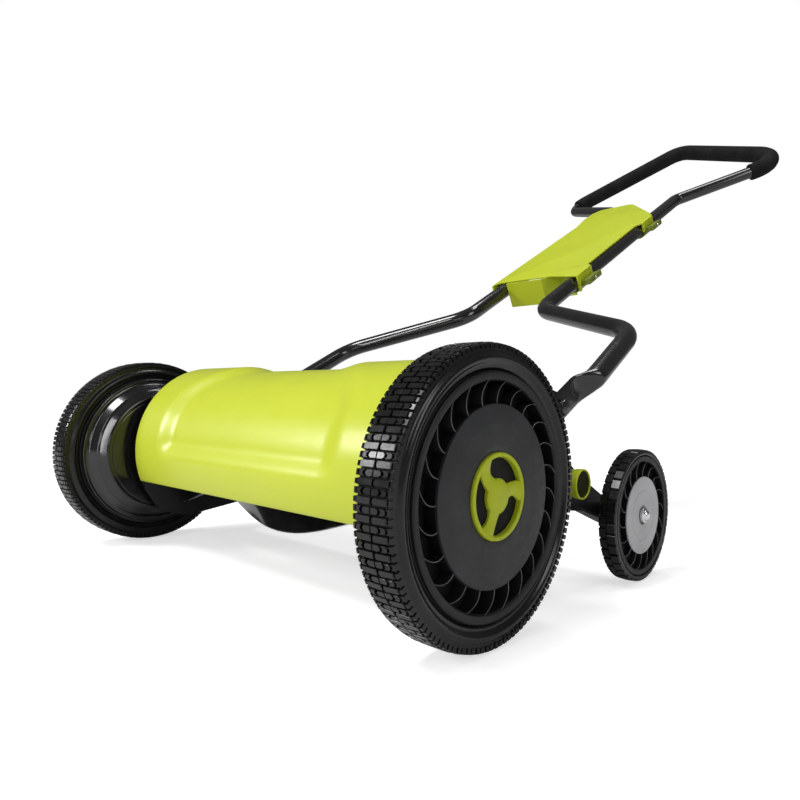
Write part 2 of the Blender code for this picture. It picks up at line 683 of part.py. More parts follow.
def rear_carriage():
    carriage = axis_empty("carriage_axis", place(0, *PIVOT))
    for side in (-1, 1):
        rear_arm(side, carriage)
        height_knob(side, carriage)
        rear_wheel(side, carriage)
    axle = cylinder("rear_axle", REAR_AXLE_R, -0.3120, 0.3120, place(0, WHEELBASE, REAR_WHEEL_R))
    finish(axle, "steel", carriage)
    for side in (-1, 1):
        name = f"{SIDE_NAMES[side]}_rear_nut"
        nut = turned(name, [(0, 0.3200), (0.0045, 0.3193), (0.0072, 0.3165), (0.0080, 0.3160),
                            (0.0088, 0.3093), (REAR_AXLE_R + GAP, 0.3093),
                            (REAR_AXLE_R + GAP, 0.3126), (0, 0.3126)], 16,
                     place(0, WHEELBASE, REAR_WHEEL_R), OUTWARD[side], closed=False)
        finish(nut, "chrome", carriage)


# ---- handle -------------------------------------------------------------------------------------
def in_handle(x, along, above):
    """A point beside the straight run of the handle: along it from its lower bend, and above it."""
    slope = HANDLE_SLOPE
    return place(x, RUN_START[0] + along * math.cos(slope) - above * math.sin(slope),
                 RUN_START[1] + along * math.sin(slope) + above * math.cos(slope))


FOOT = ((0.2760, 0.2440, 0.2300), (0.2688, 0.3654, 0.2973))
CORNERS = {1: (0.2730, 1.1780, 0.7560), -1: (-0.2790, 1.1905, 0.7390)}    # of the grip loop
APEX = (-0.0100, 1.2770, 0.8626)
JOINT_ALONG = 0.070         # where the lower tubes plug into the upper one
RUN_LENGTH = 0.6377
PANEL_TOP = 0.0158          # above the tubes' centre line


def lower_tube(side, handle):
    """From a flattened foot that is bolted to the side frame, up to the plug under the panel."""
    name = f"{SIDE_NAMES[side]}_lower_tube"
    foot, bend = Vector(FOOT[0]), Vector(FOOT[1])
    slope = (bend - foot).normalized()
    start = foot + slope * ((0.170 - foot.y) / slope.y)
    points = [Vector((side * p.x, p.y, p.z)) for p in (start, bend)]
    points = [place(*p) for p in points]
    points += [in_handle(side * RUN_X, 0, 0), in_handle(side * RUN_X, JOINT_ALONG, 0)]
    path = rounded_path(points, (0.060, 0.050), 4)
    along = (path[1] - path[0]).normalized()
    foot_steps = [0.0, 0.006, 0.014, 0.060, 0.072, 0.084, 0.094, 0.104]
    path = [path[0] + along * step for step in foot_steps] + path[1:]
    plug = (path[-1] - path[-2]).normalized()
    bore = path[len(foot_steps):-1] + [path[-1] - plug * 0.0030, path[-1] - plug * 0.0027]
    bore += [path[-1] + plug * 0.0300]
    path += [path[-1] + plug * 0.0003, path[-1] + plug * 0.0280]
    narrow = PLUG_R / TUBE_R
    made = tube(name, path, TUBE_R, 3, [1.0] * (len(path) - 2) + [narrow, narrow])
    flatten_foot(made.data, side, path[0], along)
    thin = (BORE_R - TUBE_R + PLUG_R) / BORE_R
    boolean(made, tube(f"{name}_bore", bore, BORE_R, 3, [1.0] * (len(bore) - 2) + [thin, thin],
                       cutter=True))
    boolean(made, cylinder(f"{name}_hole", BOLT_R + RUN, *span(side, 0.2550, 0.2900),
                           place(0, *HANDLE_BOLT), cutter=True))
    return finish(made, "black_paint", handle)


def flatten_foot(mesh, side, start, along):
    """Presses the tube's end flat against the side frame, and wider as it gets flatter."""
    across = along.cross(Vector((1, 0, 0))).normalized()
    inner, thick = BLOCK_OUT + GAP, 0.0050
    for vert in mesh.vertices:
        offset = vert.co - start
        reach = offset.dot(along)
        if reach > 0.103:
            continue
        press = 1 - smooth_step((reach - 0.060) / 0.036)
        axis = start + along * reach
        wide = offset.dot(across)
        end = 1.0 if reach > 0.013 else (0.55, 0.90)[reach > 0.005]
        stretch = (1 + 0.34 * press) * (end if reach < 0.030 else 1)
        depth = (vert.co.x - axis.x) * side
        pressed = inner + (depth + TUBE_R) / (2 * TUBE_R) * thick
        x = (abs(axis.x) + depth) * (1 - press) + pressed * press
        spot = vert.co + across * wide * (stretch - 1)
        vert.co = (side * x, spot.y, spot.z)


def upper_path(low):
    points = [in_handle(-RUN_X, low, 0), in_handle(-RUN_X, RUN_LENGTH, 0),
              place(*CORNERS[-1]), place(*APEX), place(*CORNERS[1]),
              in_handle(RUN_X, RUN_LENGTH, 0), in_handle(RUN_X, low, 0)]
    return rounded_path(points, (0.026, 0.036, 0.053, 0.062, 0.026), 5)


def upper_tube(handle):
    low = JOINT_ALONG + 2 * GAP
    made = tube("upper_handle_tube", upper_path(low), TUBE_R)
    boolean(made, tube("upper_handle_bore", upper_path(low - 0.0050), BORE_R, cutter=True))
    return finish(made, "black_paint", handle)


def foam_path(reach):
    """Along the grip bar: from beside its left corner, round the right one and down the flare."""
    left, apex, right = place(*CORNERS[-1]), place(*APEX), place(*CORNERS[1])
    down = (in_handle(RUN_X, RUN_LENGTH, 0) - right).normalized()
    along = (apex - left).normalized()
    points = [left + along * (0.0630 - reach), apex, right, right + down * (0.1010 + reach)]
    return rounded_path(points, (0.053, 0.062), 5)


def foam_grip(handle):
    foam = tube("foam_grip", foam_path(0), FOAM_R)
    core = tube("foam_core", foam_path(0.008), TUBE_R * 1.07, cutter=True)
    boolean(foam, core)
    return finish(foam, "foam_rubber", handle)


def handle_panel(handle):
    """A moulded plate laid over both tubes, with a wall outside the left one and two hooks on the right."""
    tilt = Euler((HANDLE_SLOPE, 0, 0))
    start = in_handle(0, 0, 0)
    outline = [(-0.0888, 0.1140), (-0.0780, 0.1300), (0.0300, 0.1300), (0.0888, 0.1100),
               (0.0888, 0.1660), (0.0780, 0.1740), (0.0780, 0.4000), (0.0888, 0.4080),
               (0.0888, 0.4600), (0.0752, 0.4856), (-0.0080, 0.6080), (-0.0220, 0.6160),
               (-0.0880, 0.6140), (-0.1000, 0.5900), (-0.1000, 0.5450), (-0.0888, 0.4800)]
    panel = flat("handle_panel", [outline], TUBE_R + GAP, PANEL_TOP, start, tilt)
    walls = [((-0.0888, 0.1140, -0.0060), (-0.0858, 0.6000, 0.0140)),
             ((0.0858, 0.1100, -0.0030), (0.0888, 0.1660, 0.0140)),
             ((0.0858, 0.1100, -0.0130), (0.0888, 0.1160, -0.0010)),
             ((0.0858, 0.4080, -0.0030), (0.0888, 0.4600, 0.0140))]
    for index, (low, high) in enumerate(walls):
        wall = box(f"panel_wall_{index}", low, high, cutter=True, turn=tilt, where=start)
        boolean(panel, wall, "UNION")
    skirt = flat("skirt", [[(-0.0888, 0.1200), (0.0130, 0.1200), (0.0340, 0.1500), (0.0580, 0.1500),
                            (0.0580, 0.1530), (0.0325, 0.1530), (0.0115, 0.1230),
                            (-0.0888, 0.1230)]], -0.0315, 0.0140, start, tilt, cutter=True)
    boolean(panel, skirt, "UNION")
    clear = cylinder("skirt_hole", TUBE_R + GAP, -0.1300, -0.1100, in_handle(-RUN_X, 0, 0),
                     Euler((HANDLE_SLOPE + math.pi / 2, 0, 0)), 24, cutter=True)
    boolean(panel, clear)
    return finish(panel, "lime_plastic", handle)


def panel_clip(name, side, low, high, handle):
    """A hook under the tube, which swings down and outward about its round knuckle."""
    knuckle = 0.0202
    hinge = in_handle(side * (RUN_X + knuckle), (low + high) / 2, 0.0)
    axis = axis_empty(f"{name}_axis", hinge, handle)
    hook = arc(0, 0, 0.0166, -118, -18, 7)
    tab = [(0.0300, -0.0046), (0.0335, -0.0020), (0.0335, 0.0040), (0.0300, 0.0062)]
    top = arc(knuckle, 0, 0.0036, 75, 200, 6) + [(0.0166, -0.0037)]
    outline = hook + tab + top + arc(0, 0, 0.0130, -16, -118, 7)
    outline = [(side * x, y) for x, y in outline]
    lying = Euler((HANDLE_SLOPE + math.pi / 2, 0, 0))
    clip = flat(name, [outline], -high, -low, in_handle(side * RUN_X, 0, 0), lying)
    return finish(clip, "olive_plastic", axis)


def handle():
    axis = axis_empty("handle_axis", place(0, *HANDLE_BOLT))
    for side in (-1, 1):
        lower_tube(side, axis)
        hex_bolt(f"{SIDE_NAMES[side]}_handle_bolt", side, place(0, *HANDLE_BOLT), BOLT_R, 0.2380,
                 0.2677, 0.0092, 0.0060)
    upper_tube(axis)
    foam_grip(axis)
    handle_panel(axis)
    for label, low, high in (("lower", 0.118, 0.162), ("upper", 0.415, 0.457)):
        panel_clip(f"right_{label}_clip", 1, low, high, axis)


# ---- the mower ----------------------------------------------------------------------------------
def chassis():
    for side in (-1, 1):
        side_plate(side)
        gear_cover(side)
        bearing(side)
        hex_bolt(f"{SIDE_NAMES[side]}_axle_bolt", side, place(0, 0, WHEEL_R), AXLE_BOLT_R, 0.2380,
                 0.3060, 0.0112, 0.0060)
    deck_cover()
    cutter_bar()
    tie_bar()


chassis()
for one_side in (-1, 1):
    front_wheel(one_side)
    pinion(one_side)
reel()
rear_carriage()
handle()
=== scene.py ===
"""The looks of the reel mower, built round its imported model. Lengths are metres, in the model's frame."""
import math

import bmesh
import bpy
from mathutils import Euler, Matrix, Vector


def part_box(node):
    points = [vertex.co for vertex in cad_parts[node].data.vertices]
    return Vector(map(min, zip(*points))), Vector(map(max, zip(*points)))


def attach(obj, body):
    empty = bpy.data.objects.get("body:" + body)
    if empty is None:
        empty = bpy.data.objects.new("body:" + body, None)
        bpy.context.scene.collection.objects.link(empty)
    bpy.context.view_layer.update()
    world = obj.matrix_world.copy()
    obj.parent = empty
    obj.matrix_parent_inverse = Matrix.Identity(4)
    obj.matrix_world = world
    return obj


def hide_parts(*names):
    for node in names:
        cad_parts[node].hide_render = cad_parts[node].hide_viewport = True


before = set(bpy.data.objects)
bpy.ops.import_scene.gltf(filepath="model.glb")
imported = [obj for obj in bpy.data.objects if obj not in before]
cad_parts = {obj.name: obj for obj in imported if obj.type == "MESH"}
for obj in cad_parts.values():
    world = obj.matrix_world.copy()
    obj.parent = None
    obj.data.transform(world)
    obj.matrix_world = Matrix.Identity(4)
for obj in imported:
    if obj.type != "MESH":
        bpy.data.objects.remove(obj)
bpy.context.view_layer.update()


def middle(node):
    low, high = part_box(node)
    return (low + high) / 2


# ---- places from the frame ----------------------------------------------------------------------
AXLE = middle("right_tyre")
REAR = middle("right_rear_tyre")
REEL = middle("reel_shaft")
AXLE_Y = AXLE.y
SIDES = {1: "right", -1: "left"}
MM = 0.001
WELD = 1e-6

WHEEL_R, RIM_R = 0.127, 0.104
WHEEL_MIDDLE = 0.2980
TREAD_REPEATS, REAR_TREAD_REPEATS = 61, 38
VANES, REAR_VANES = 24, 18
HUB_DISC_R, VENT_R, CAP_R = 0.0762, 0.0952, 0.0363
REAR_WHEEL_R, REAR_RIM_R, REAR_MIDDLE = 0.0762, 0.0690, 0.30385
REAR_DISC_R, REAR_VENT_R = 0.0446, 0.0623
REEL_R, BLADE_ROOT_R, REEL_HALF, BLADES = 0.078, 0.050, 0.228, 5
TWIST = math.radians(0.257) / MM
FIRST_BLADE = math.radians(26)
DECK_Y, DECK_Z, DECK_R, DECK_HALF = 0.0630, 0.1330, 0.1115, 0.2319
DECK_SHEET, DECK_PRESS = 0.0024, 0.0072
BLOCK_OUT = 0.2620
TUBE_R, FOAM_R = 0.0125, 0.0178
SLOPE = math.radians(28.93)
RUN_X, RUN_START, RUN_LENGTH, JOINT_ALONG = 0.073, (0.4664, 0.3531), 0.6377, 0.070
FOOT = (Vector((0.2760, 0.2440, 0.2300)), Vector((0.2688, 0.3654, 0.2973)))
CORNERS = {1: (0.2730, 1.1780, 0.7560), -1: (-0.2790, 1.1905, 0.7390)}    # of the grip loop
APEX = (-0.0100, 1.2770, 0.8626)
BENDS = (0.026, 0.036, 0.053, 0.062, 0.026)    # radii, from the left run to the right one
BEND_STEPS, FOAM_FROM = 18, 12                 # points in each bend, and the first one under the foam
FLARE_REACH, FOAM_DOWN = 0.0630, 0.1010        # down the left flare, to shape the bend, and the right
SIDEWAYS = Euler((math.pi / 2, 0, math.pi / 2)).to_matrix().to_4x4()


def place(x, y, z):
    """A point measured from the ground under the front axle."""
    return Vector((x, AXLE_Y + y, z))


def in_handle(x, along, above):
    """A point beside the handle's straight run: along it, and above it."""
    return place(x, RUN_START[0] + along * math.cos(SLOPE) - above * math.sin(SLOPE),
                 RUN_START[1] + along * math.sin(SLOPE) + above * math.cos(SLOPE))


# ---- materials ----------------------------------------------------------------------------------
def material(name, dark, light, rough, metallic=0.0, cloud=6.0, grain=(900.0, 0.05), coat=None,
             cells=None, streaks=None, specular=0.5):
    """A moulded, painted or metal surface: two close colours in clouds, uneven gloss and fine relief."""
    made = bpy.data.materials.new(name)
    made.use_nodes = True
    nodes, links = made.node_tree.nodes, made.node_tree.links
    shader = nodes["Principled BSDF"]
    shader.inputs["Metallic"].default_value = metallic
    shader.inputs["Specular IOR Level"].default_value = specular
    if coat:
        shader.inputs["Coat Weight"].default_value = coat[0]
        shader.inputs["Coat Roughness"].default_value = coat[1]
    where = nodes.new("ShaderNodeTexCoord")

    def noise(scale, detail, source=where.outputs["Object"]):
        texture = nodes.new("ShaderNodeTexNoise")
        texture.inputs["Scale"].default_value = scale
        texture.inputs["Detail"].default_value = detail
        links.new(source, texture.inputs["Vector"])
        return texture.outputs["Fac"]

    def ramp(value, first, last, low=0.3, high=0.7):
        node = nodes.new("ShaderNodeMapRange")
        node.inputs["From Min"].default_value = low
        node.inputs["From Max"].default_value = high
        node.inputs["To Min"].default_value = first
        node.inputs["To Max"].default_value = last
        links.new(value, node.inputs["Value"])
        return node.outputs["Result"]

    clouds = noise(cloud, 6.0)
    tint = nodes.new("ShaderNodeMix")
    tint.data_type = "RGBA"
    tint.inputs["A"].default_value = (*dark, 1)
    tint.inputs["B"].default_value = (*light, 1)
    links.new(ramp(clouds, 0.0, 1.0), tint.inputs["Factor"])
    links.new(tint.outputs["Result"], shader.inputs["Base Color"])
    smudges = noise(cloud * 7, 4.0)
    links.new(ramp(smudges, rough[0], rough[1]), shader.inputs["Roughness"])

    height = noise(grain[0], 3.0)
    if cells:
        voronoi = nodes.new("ShaderNodeTexVoronoi")
        voronoi.inputs["Scale"].default_value = cells
        links.new(where.outputs["Object"], voronoi.inputs["Vector"])
        height = voronoi.outputs["Distance"]
    if streaks:
        stretch = nodes.new("ShaderNodeMapping")
        stretch.inputs["Scale"].default_value = streaks
        links.new(where.outputs["Object"], stretch.inputs["Vector"])
        height = noise(1.0, 2.0, stretch.outputs["Vector"])
    bump = nodes.new("ShaderNodeBump")
    bump.inputs["Strength"].default_value = grain[1]
    bump.inputs["Distance"].default_value = 0.0006
    links.new(height, bump.inputs["Height"])
    links.new(bump.outputs["Normal"], shader.inputs["Normal"])
    return made


LOOKS = {
    "lime_paint": material("lime_paint", (0.48, 0.545, 0.030), (0.51, 0.575, 0.036), (0.32, 0.42),
                           grain=(420.0, 0.012), coat=(0.25, 0.22), specular=0.35),
    "lime_plastic": material("lime_plastic", (0.42, 0.49, 0.014), (0.46, 0.53, 0.018), (0.40, 0.52),
                             grain=(1500.0, 0.06), specular=0.3),
    "olive_plastic": material("olive_plastic", (0.10, 0.13, 0.010), (0.16, 0.20, 0.020), (0.35, 0.5),
                              cloud=40.0, grain=(1500.0, 0.12)),
    "black_paint": material("black_paint", (0.006, 0.006, 0.007), (0.012, 0.012, 0.013),
                            (0.12, 0.22), grain=(300.0, 0.02), coat=(0.4, 0.05)),
    "black_plastic": material("black_plastic", (0.007, 0.007, 0.008), (0.014, 0.014, 0.015),
                              (0.34, 0.48), grain=(1200.0, 0.06), specular=0.30),
    "hub_plastic": material("hub_plastic", (0.022, 0.023, 0.024), (0.036, 0.037, 0.039),
                            (0.40, 0.52), cloud=22.0, grain=(1600.0, 0.08), specular=0.3),
    "grey_plastic": material("grey_plastic", (0.42, 0.42, 0.43), (0.50, 0.50, 0.51), (0.36, 0.50),
                             cloud=22.0, grain=(1600.0, 0.08)),
    "tyre_rubber": material("tyre_rubber", (0.004, 0.004, 0.005), (0.009, 0.009, 0.009),
                            (0.20, 0.28), cloud=30.0, grain=(1500.0, 0.02), specular=0.4),
    "foam_rubber": material("foam_rubber", (0.006, 0.006, 0.006), (0.013, 0.013, 0.013),
                            (0.75, 0.92), cloud=30.0, grain=(1.0, 0.35), cells=900.0, specular=0.12),
    "steel": material("steel", (0.40, 0.40, 0.41), (0.60, 0.60, 0.61), (0.24, 0.42), metallic=1.0,
                      cloud=30.0, grain=(1.0, 0.10), streaks=(60.0, 2500.0, 2500.0)),
    "chrome": material("chrome", (0.72, 0.72, 0.74), (0.85, 0.85, 0.87), (0.06, 0.16), metallic=1.0,
                       cloud=60.0, grain=(900.0, 0.03)),
    "cup_shade": material("cup_shade", (0.035, 0.038, 0.012), (0.060, 0.062, 0.024), (0.45, 0.6),
                          cloud=60.0, grain=(1200.0, 0.08), specular=0.3),
    # Painted highlight: a lighter grey for the vane edges that catch the light.
    "vane_highlight": material("vane_highlight", (0.10, 0.10, 0.11), (0.15, 0.15, 0.16), (0.35, 0.50),
                          cloud=22.0, grain=(1600.0, 0.08)),
    # Painted shade: a near-black, matte look for vent insides, groove bottoms and the hollow under the hub
    # cap.
    "vent_shade": material("vent_shade", (0.002, 0.002, 0.002), (0.004, 0.004, 0.004), (0.55, 0.75),
                           grain=(1200.0, 0.10), specular=0.25),
    "ground_steel": material("ground_steel", (0.62, 0.62, 0.63), (0.85, 0.85, 0.86), (0.16, 0.34),
                             metallic=1.0, cloud=25.0, grain=(1.0, 0.18),
                             streaks=(900.0, 120.0, 120.0)),
}


# ---- shape helpers ------------------------------------------------------------------------------
def piece(name, mesh, body, slot, replaces=(), looks=None, smooth=38):
    obj = bpy.data.objects.new(name, mesh)
    bpy.context.scene.collection.objects.link(obj)
    for look in looks or [slot]:
        mesh.materials.append(LOOKS[look])
    mesh.shade_smooth()
    mesh.set_sharp_from_angle(angle=math.radians(smooth))
    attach(obj, body)
    if replaces:
        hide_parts(*([replaces] if isinstance(replaces, str) else replaces))
    return obj


def mesh_of(name, verts, faces, slots=None):
    mesh = bpy.data.meshes.new(name)
    mesh.from_pydata([tuple(v) for v in verts], [], faces)
    if slots:
        mesh.polygons.foreach_set("material_index", slots)
    bm = bmesh.new()
    bm.from_mesh(mesh)
    bmesh.ops.remove_doubles(bm, verts=bm.verts, dist=WELD)
    bmesh.ops.recalc_face_normals(bm, faces=bm.faces)
    bm.to_mesh(mesh)
    bm.free()
    return mesh


def fillet(profile, radius, steps=3):
    """A closed outline with its corners rounded."""
    points = [Vector(p) for p in profile]
    rounded = []
    for before, corner, after in zip(points[-1:] + points[:-1], points, points[1:] + points[:1]):
        back, ahead = before - corner, after - corner
        if min(back.length, ahead.length) < 1e-7:
            continue
        reach_back = min(radius, back.length * 0.45)
        reach_ahead = min(radius, ahead.length * 0.45)
        start = corner + back.normalized() * reach_back
        end = corner + ahead.normalized() * reach_ahead
        for k in range(steps + 1):
            t = k / steps
            rounded.append(start * (1 - t) ** 2 + corner * 2 * t * (1 - t) + end * t ** 2)
    return rounded


def lathe(name, profile, side, centre, segments=128, radius=0.0007, steps=3):
    """A closed profile of (radius, outward) points, turned about the X axis through the centre."""
    outline = fillet(profile, radius, steps) if radius else [Vector(p) for p in profile]
    outline = [(max(0.0, r), x) for r, x in outline]
    count = len(outline)
    verts, faces = [], []
    for k in range(segments):
        angle = 2 * math.pi * k / segments
        verts += [(side * x, centre.y + r * math.sin(angle), centre.z + r * math.cos(angle))
                  for r, x in outline]
        after = (k + 1) % segments
        for j in range(count):
            i = (j + 1) % count
            if outline[j][0] < 1e-7 and outline[i][0] < 1e-7:
                continue
            faces.append((k * count + j, after * count + j, after * count + i, k * count + i))
    return mesh_of(name, verts, faces)


def evaluated(curve_obj, matrix=None):
    """The curve's solid as a mesh in the model's frame. The curve is removed."""
    bpy.context.view_layer.update()
    graph = bpy.context.evaluated_depsgraph_get()
    mesh = bpy.data.meshes.new_from_object(curve_obj.evaluated_get(graph))
    if matrix:
        mesh.transform(matrix)
    bm = bmesh.new()
    bm.from_mesh(mesh)
    bmesh.ops.remove_doubles(bm, verts=bm.verts, dist=WELD)
    bmesh.ops.recalc_face_normals(bm, faces=bm.faces)
    bm.to_mesh(mesh)
    bm.free()
    bpy.data.objects.remove(curve_obj)
    return mesh


def plate(name, outlines, low, high, bevel, matrix=SIDEWAYS):
    """Closed outlines, holes included, made solid from low to high with rounded rims."""
    curve = bpy.data.curves.new(name, "CURVE")
    curve.dimensions = "2D"
    curve.fill_mode = "BOTH"
    curve.extrude = (high - low) / 2 - bevel
    curve.bevel_depth = bevel
    curve.bevel_resolution = 2
    curve.offset = -bevel
    for outline in outlines:
        spline = curve.splines.new("POLY")
        spline.points.add(len(outline) - 1)
        for point, (x, y) in zip(spline.points, outline):
            point.co = (x, y, 0, 1)
        spline.use_cyclic_u = True
    obj = bpy.data.objects.new(name, curve)
    bpy.context.scene.collection.objects.link(obj)
    return evaluated(obj, matrix @ Matrix.Translation((0, 0, (low + high) / 2)))


def tube(name, path, radius, resolution=8, widths=None):
    curve = bpy.data.curves.new(name, "CURVE")
    curve.dimensions = "3D"
    curve.bevel_depth = radius
    curve.bevel_resolution = resolution
    curve.use_fill_caps = True
    spline = curve.splines.new("POLY")
    spline.points.add(len(path) - 1)
    for index, (point, where) in enumerate(zip(spline.points, path)):
        point.co = (*where, 1)
        point.radius = widths[index] if widths else 1
    obj = bpy.data.objects.new(name, curve)
    bpy.context.scene.collection.objects.link(obj)
    return evaluated(obj)


def arc(x, y, radius, first, last, steps):
    return [(x + radius * math.cos(math.radians(first + (last - first) * k / steps)),
             y + radius * math.sin(math.radians(first + (last - first) * k / steps)))
            for k in range(steps + 1)]


def rounded_path(points, radii, steps):
    path = [points[0]]
    for before, corner, after, radius in zip(points, points[1:], points[2:], radii):
        into, out = (corner - before).normalized(), (after - corner).normalized()
        angle = into.angle(out)
        start = corner - into * radius * math.tan(angle / 2)
        spin = into.cross(out).normalized()
        centre = start + spin.cross(into) * radius
        for k in range(steps + 1):
            path.append(centre + Matrix.Rotation(angle * k / steps, 3, spin) @ (start - centre))
    return path + [points[-1]]


def smooth_step(value):
    value = max(0.0, min(1.0, value))
    return value * value * (3 - 2 * value)


def outward(side, centre):
    """A turned piece's own frame: its X and Y are in the wheel's plane, and Z points outward."""
    turn = Euler((0, side * math.pi / 2, 0)).to_matrix().to_4x4()
    return Matrix.Translation((0, centre.y, centre.z)) @ turn


def join(name, meshes):
    """Several meshes as one, in the same place."""
    bm = bmesh.new()
    for mesh in meshes:
        bm.from_mesh(mesh)
    made = bpy.data.meshes.new(name)
    bm.to_mesh(made)
    bm.free()
    return made


def repaint(mesh, centre, inner, look):
    """Gives another of the piece's looks to its faces beyond a distance from the axis."""
    for face in mesh.polygons:
        if math.hypot(face.center.y - centre.y, face.center.z - centre.z) > inner:
            face.material_index = look


GROOVE_SHADE_LOOK = 1    # of a tyre: painted shade on the bottoms of its grooves


# ---- tyres --------------------------------------------------------------------------------------
def crown(v, radius, flat, drop, edge):
    """The tread's radius at a distance from the tyre's middle plane."""
    return radius - drop * smooth_step((abs(v) - flat) / (edge - flat)) ** 1.3


def blocks(name, side, centre, mid, periods, pattern, surface, floor):
    """Raised tread blocks: each outline is (round, across), in periods and metres."""
    verts, faces = [], []
    for k in range(periods):
        for outline in pattern:
            count = len(outline)
            u0 = sum(u for u, v in outline) / count
            v0 = sum(v for u, v in outline) / count
            first = len(verts)
            for inset, lift in ((1.0, None), (1.0, -0.0005), (0.90, 0.0)):
                for u, v in outline:
                    uu, vv = u0 + (u - u0) * inset, v0 + (v - v0) * (1 - (1 - inset) * 0.6)
                    angle = 2 * math.pi * (k + uu) / periods
                    r = floor(vv) if lift is None else surface(vv) + lift
                    verts.append((side * (mid + vv), centre.y + r * math.sin(angle),
                                  centre.z + r * math.cos(angle)))
            for ring in range(2):
                for j in range(count):
                    i = (j + 1) % count
                    faces.append((first + ring * count + j, first + ring * count + i,
                                  first + (ring + 1) * count + i, first + (ring + 1) * count + j))
            faces.append(tuple(first + 2 * count + j for j in range(count)))
            faces.append(tuple(first + j for j in reversed(range(count))))
    return mesh_of(name, verts, faces)


def front_tread():
    """One period: a row of wide blocks, then a hexagon across the groove between notched lugs."""
    wide_left = [(0.04, -15.6), (0.44, -15.6), (0.44, -0.4), (0.04, -0.4)]
    wide_right = [(0.04, 2.4), (0.14, 2.4), (0.14, 1.7), (0.34, 1.7), (0.34, 2.4), (0.44, 2.4),
                  (0.44, 15.6), (0.04, 15.6)]
    hexagon = [(0.55, 0.4), (0.55, 6.0), (0.66, 7.8), (0.82, 7.8), (0.93, 6.0), (0.93, 0.4)]
    lug = [(0.55, 8.6), (0.66, 10.4), (0.82, 10.4), (0.93, 8.6), (0.93, 13.0), (0.85, 14.6),
           (0.63, 14.6), (0.55, 13.0)]
    shoulder = [[(0.08, 17.0), (0.40, 17.0), (0.40, 18.9), (0.08, 18.9)],
                [(0.55, 14.8), (0.64, 16.4), (0.84, 16.4), (0.93, 14.8), (0.93, 18.7), (0.55, 18.7)]]
    mirrored = [[(u, -v) for u, v in reversed(o)] for o in [hexagon, lug] + shoulder]
    return [[(u, v * MM) for u, v in o]
            for o in [wide_left, wide_right, hexagon, lug] + shoulder + mirrored]


def front_tyre(side):
    name = SIDES[side]
    carcass = lathe(f"{name}_carcass", [
        (RIM_R + 0.0003, 0.3134), (0.1060, 0.3150), (0.1078, 0.3152), (0.1096, 0.3160),
        (0.1112, 0.3174), (0.1128, 0.3183), (0.1146, 0.3184), (0.1164, 0.3177), (0.1180, 0.3164),
        (0.1200, 0.3158), (0.1222, 0.3161), (0.1240, 0.3130), (0.1243, 0.3030), (0.1243, 0.2984),
        (0.1232, 0.2982), (0.1232, 0.2978), (0.1243, 0.2976), (0.1243, 0.2930), (0.1240, 0.2834),
        (0.1226, 0.2802), (0.1206, 0.2800), (0.1180, 0.2808), (0.1160, 0.2802), (0.1144, 0.2788),
        (0.1126, 0.2780), (0.1108, 0.2781), (0.1092, 0.2792), (RIM_R + 0.0003, 0.2800)],
        side, AXLE, 160, 0.0012)
    # Painted shade: the groove bottoms between the tread blocks are painted near-black.
    repaint(carcass, AXLE, 0.1236, GROOVE_SHADE_LOOK)
    tread = blocks(f"{name}_tread", side, AXLE, WHEEL_MIDDLE, TREAD_REPEATS, front_tread(),
                   lambda v: crown(v, WHEEL_R, 0.0110, 0.0016, 0.0200),
                   lambda v: crown(v, 0.1238, 0.0110, 0.0030, 0.0200))
    piece(f"{name}_tyre_detail", join(f"{name}_tyre_detail", [carcass, tread]), f"{name}_wheel",
          "tyre_rubber", f"{name}_tyre", looks=["tyre_rubber", "vent_shade"])


def rear_tyre(side):
    name = SIDES[side]
    carcass = lathe(f"{name}_rear_carcass", [
        (REAR_RIM_R + 0.0003, 0.3124), (0.0703, 0.3134), (0.0718, 0.3136), (0.0739, 0.3132),
        (0.0744, 0.3110), (0.0744, 0.3045), (0.0744, 0.3030), (0.0744, 0.2970), (0.0739, 0.2951),
        (0.0718, 0.2947), (0.0703, 0.2950), (REAR_RIM_R + 0.0003, 0.2960)], side, REAR, 96, 0.0006)
    # Painted shade: the groove bottoms between the tread blocks are painted near-black.
    repaint(carcass, REAR, 0.0741, GROOVE_SHADE_LOOK)
    bars = [[(0.05, -9.3), (0.05, -0.2), (0.88, -0.2), (0.88, -9.3)],
            [(0.50, 0.2), (0.50, 9.3), (1.33, 9.3), (1.33, 0.2)]]
    tread = blocks(f"{name}_rear_tread", side, REAR, REAR_MIDDLE, REAR_TREAD_REPEATS,
                   [[(u, v * MM) for u, v in o] for o in bars],
                   lambda v: crown(v, REAR_WHEEL_R, 0.0065, 0.0007, 0.0095),
                   lambda v: crown(v, 0.0740, 0.0065, 0.0006, 0.0095))
    piece(f"{name}_rear_tyre_detail", join(f"{name}_rear_tyre_detail", [carcass, tread]),
          f"{name}_rear_wheel", "tyre_rubber", f"{name}_rear_tyre",
          looks=["tyre_rubber", "vent_shade"])


# A rim's looks are its disc, the painted shade inside its vent, its outer ring and the painted highlight
# along its vanes' edges.
RING_LOOK, VANE_HIGHLIGHT_LOOK, VENT_SHADE_LOOK = 2, 3, 1


# ---- rims ---------------------------------------------------------------------------------------
def vane(centre_angle, inner, outer, lean, thick, low, high, steps=8):
    """One swept vane, in the wheel's own frame, with a rounded outer edge."""
    verts, faces = [], []
    for step in range(steps + 1):
        t = step / steps
        r = inner + (outer - inner) * t
        angle = centre_angle + lean * (t ** 2.2 - 0.10 * math.sin(math.pi * t))
        for sign, z in ((-1, low), (-1, high - 0.0004), (-0.4, high), (0.4, high),
                        (1, high - 0.0004), (1, low)):
            a = angle + sign * thick / 2 / r
            verts.append((r * math.cos(a), r * math.sin(a), z))
        if step:
            base = 6 * (step - 1)
            faces += [(base + j, base + (j + 1) % 6, base + 6 + (j + 1) % 6, base + 6 + j)
                      for j in range(6)]
    faces += [tuple(range(5, -1, -1)), tuple(6 * steps + j for j in range(6))]
    return verts, faces


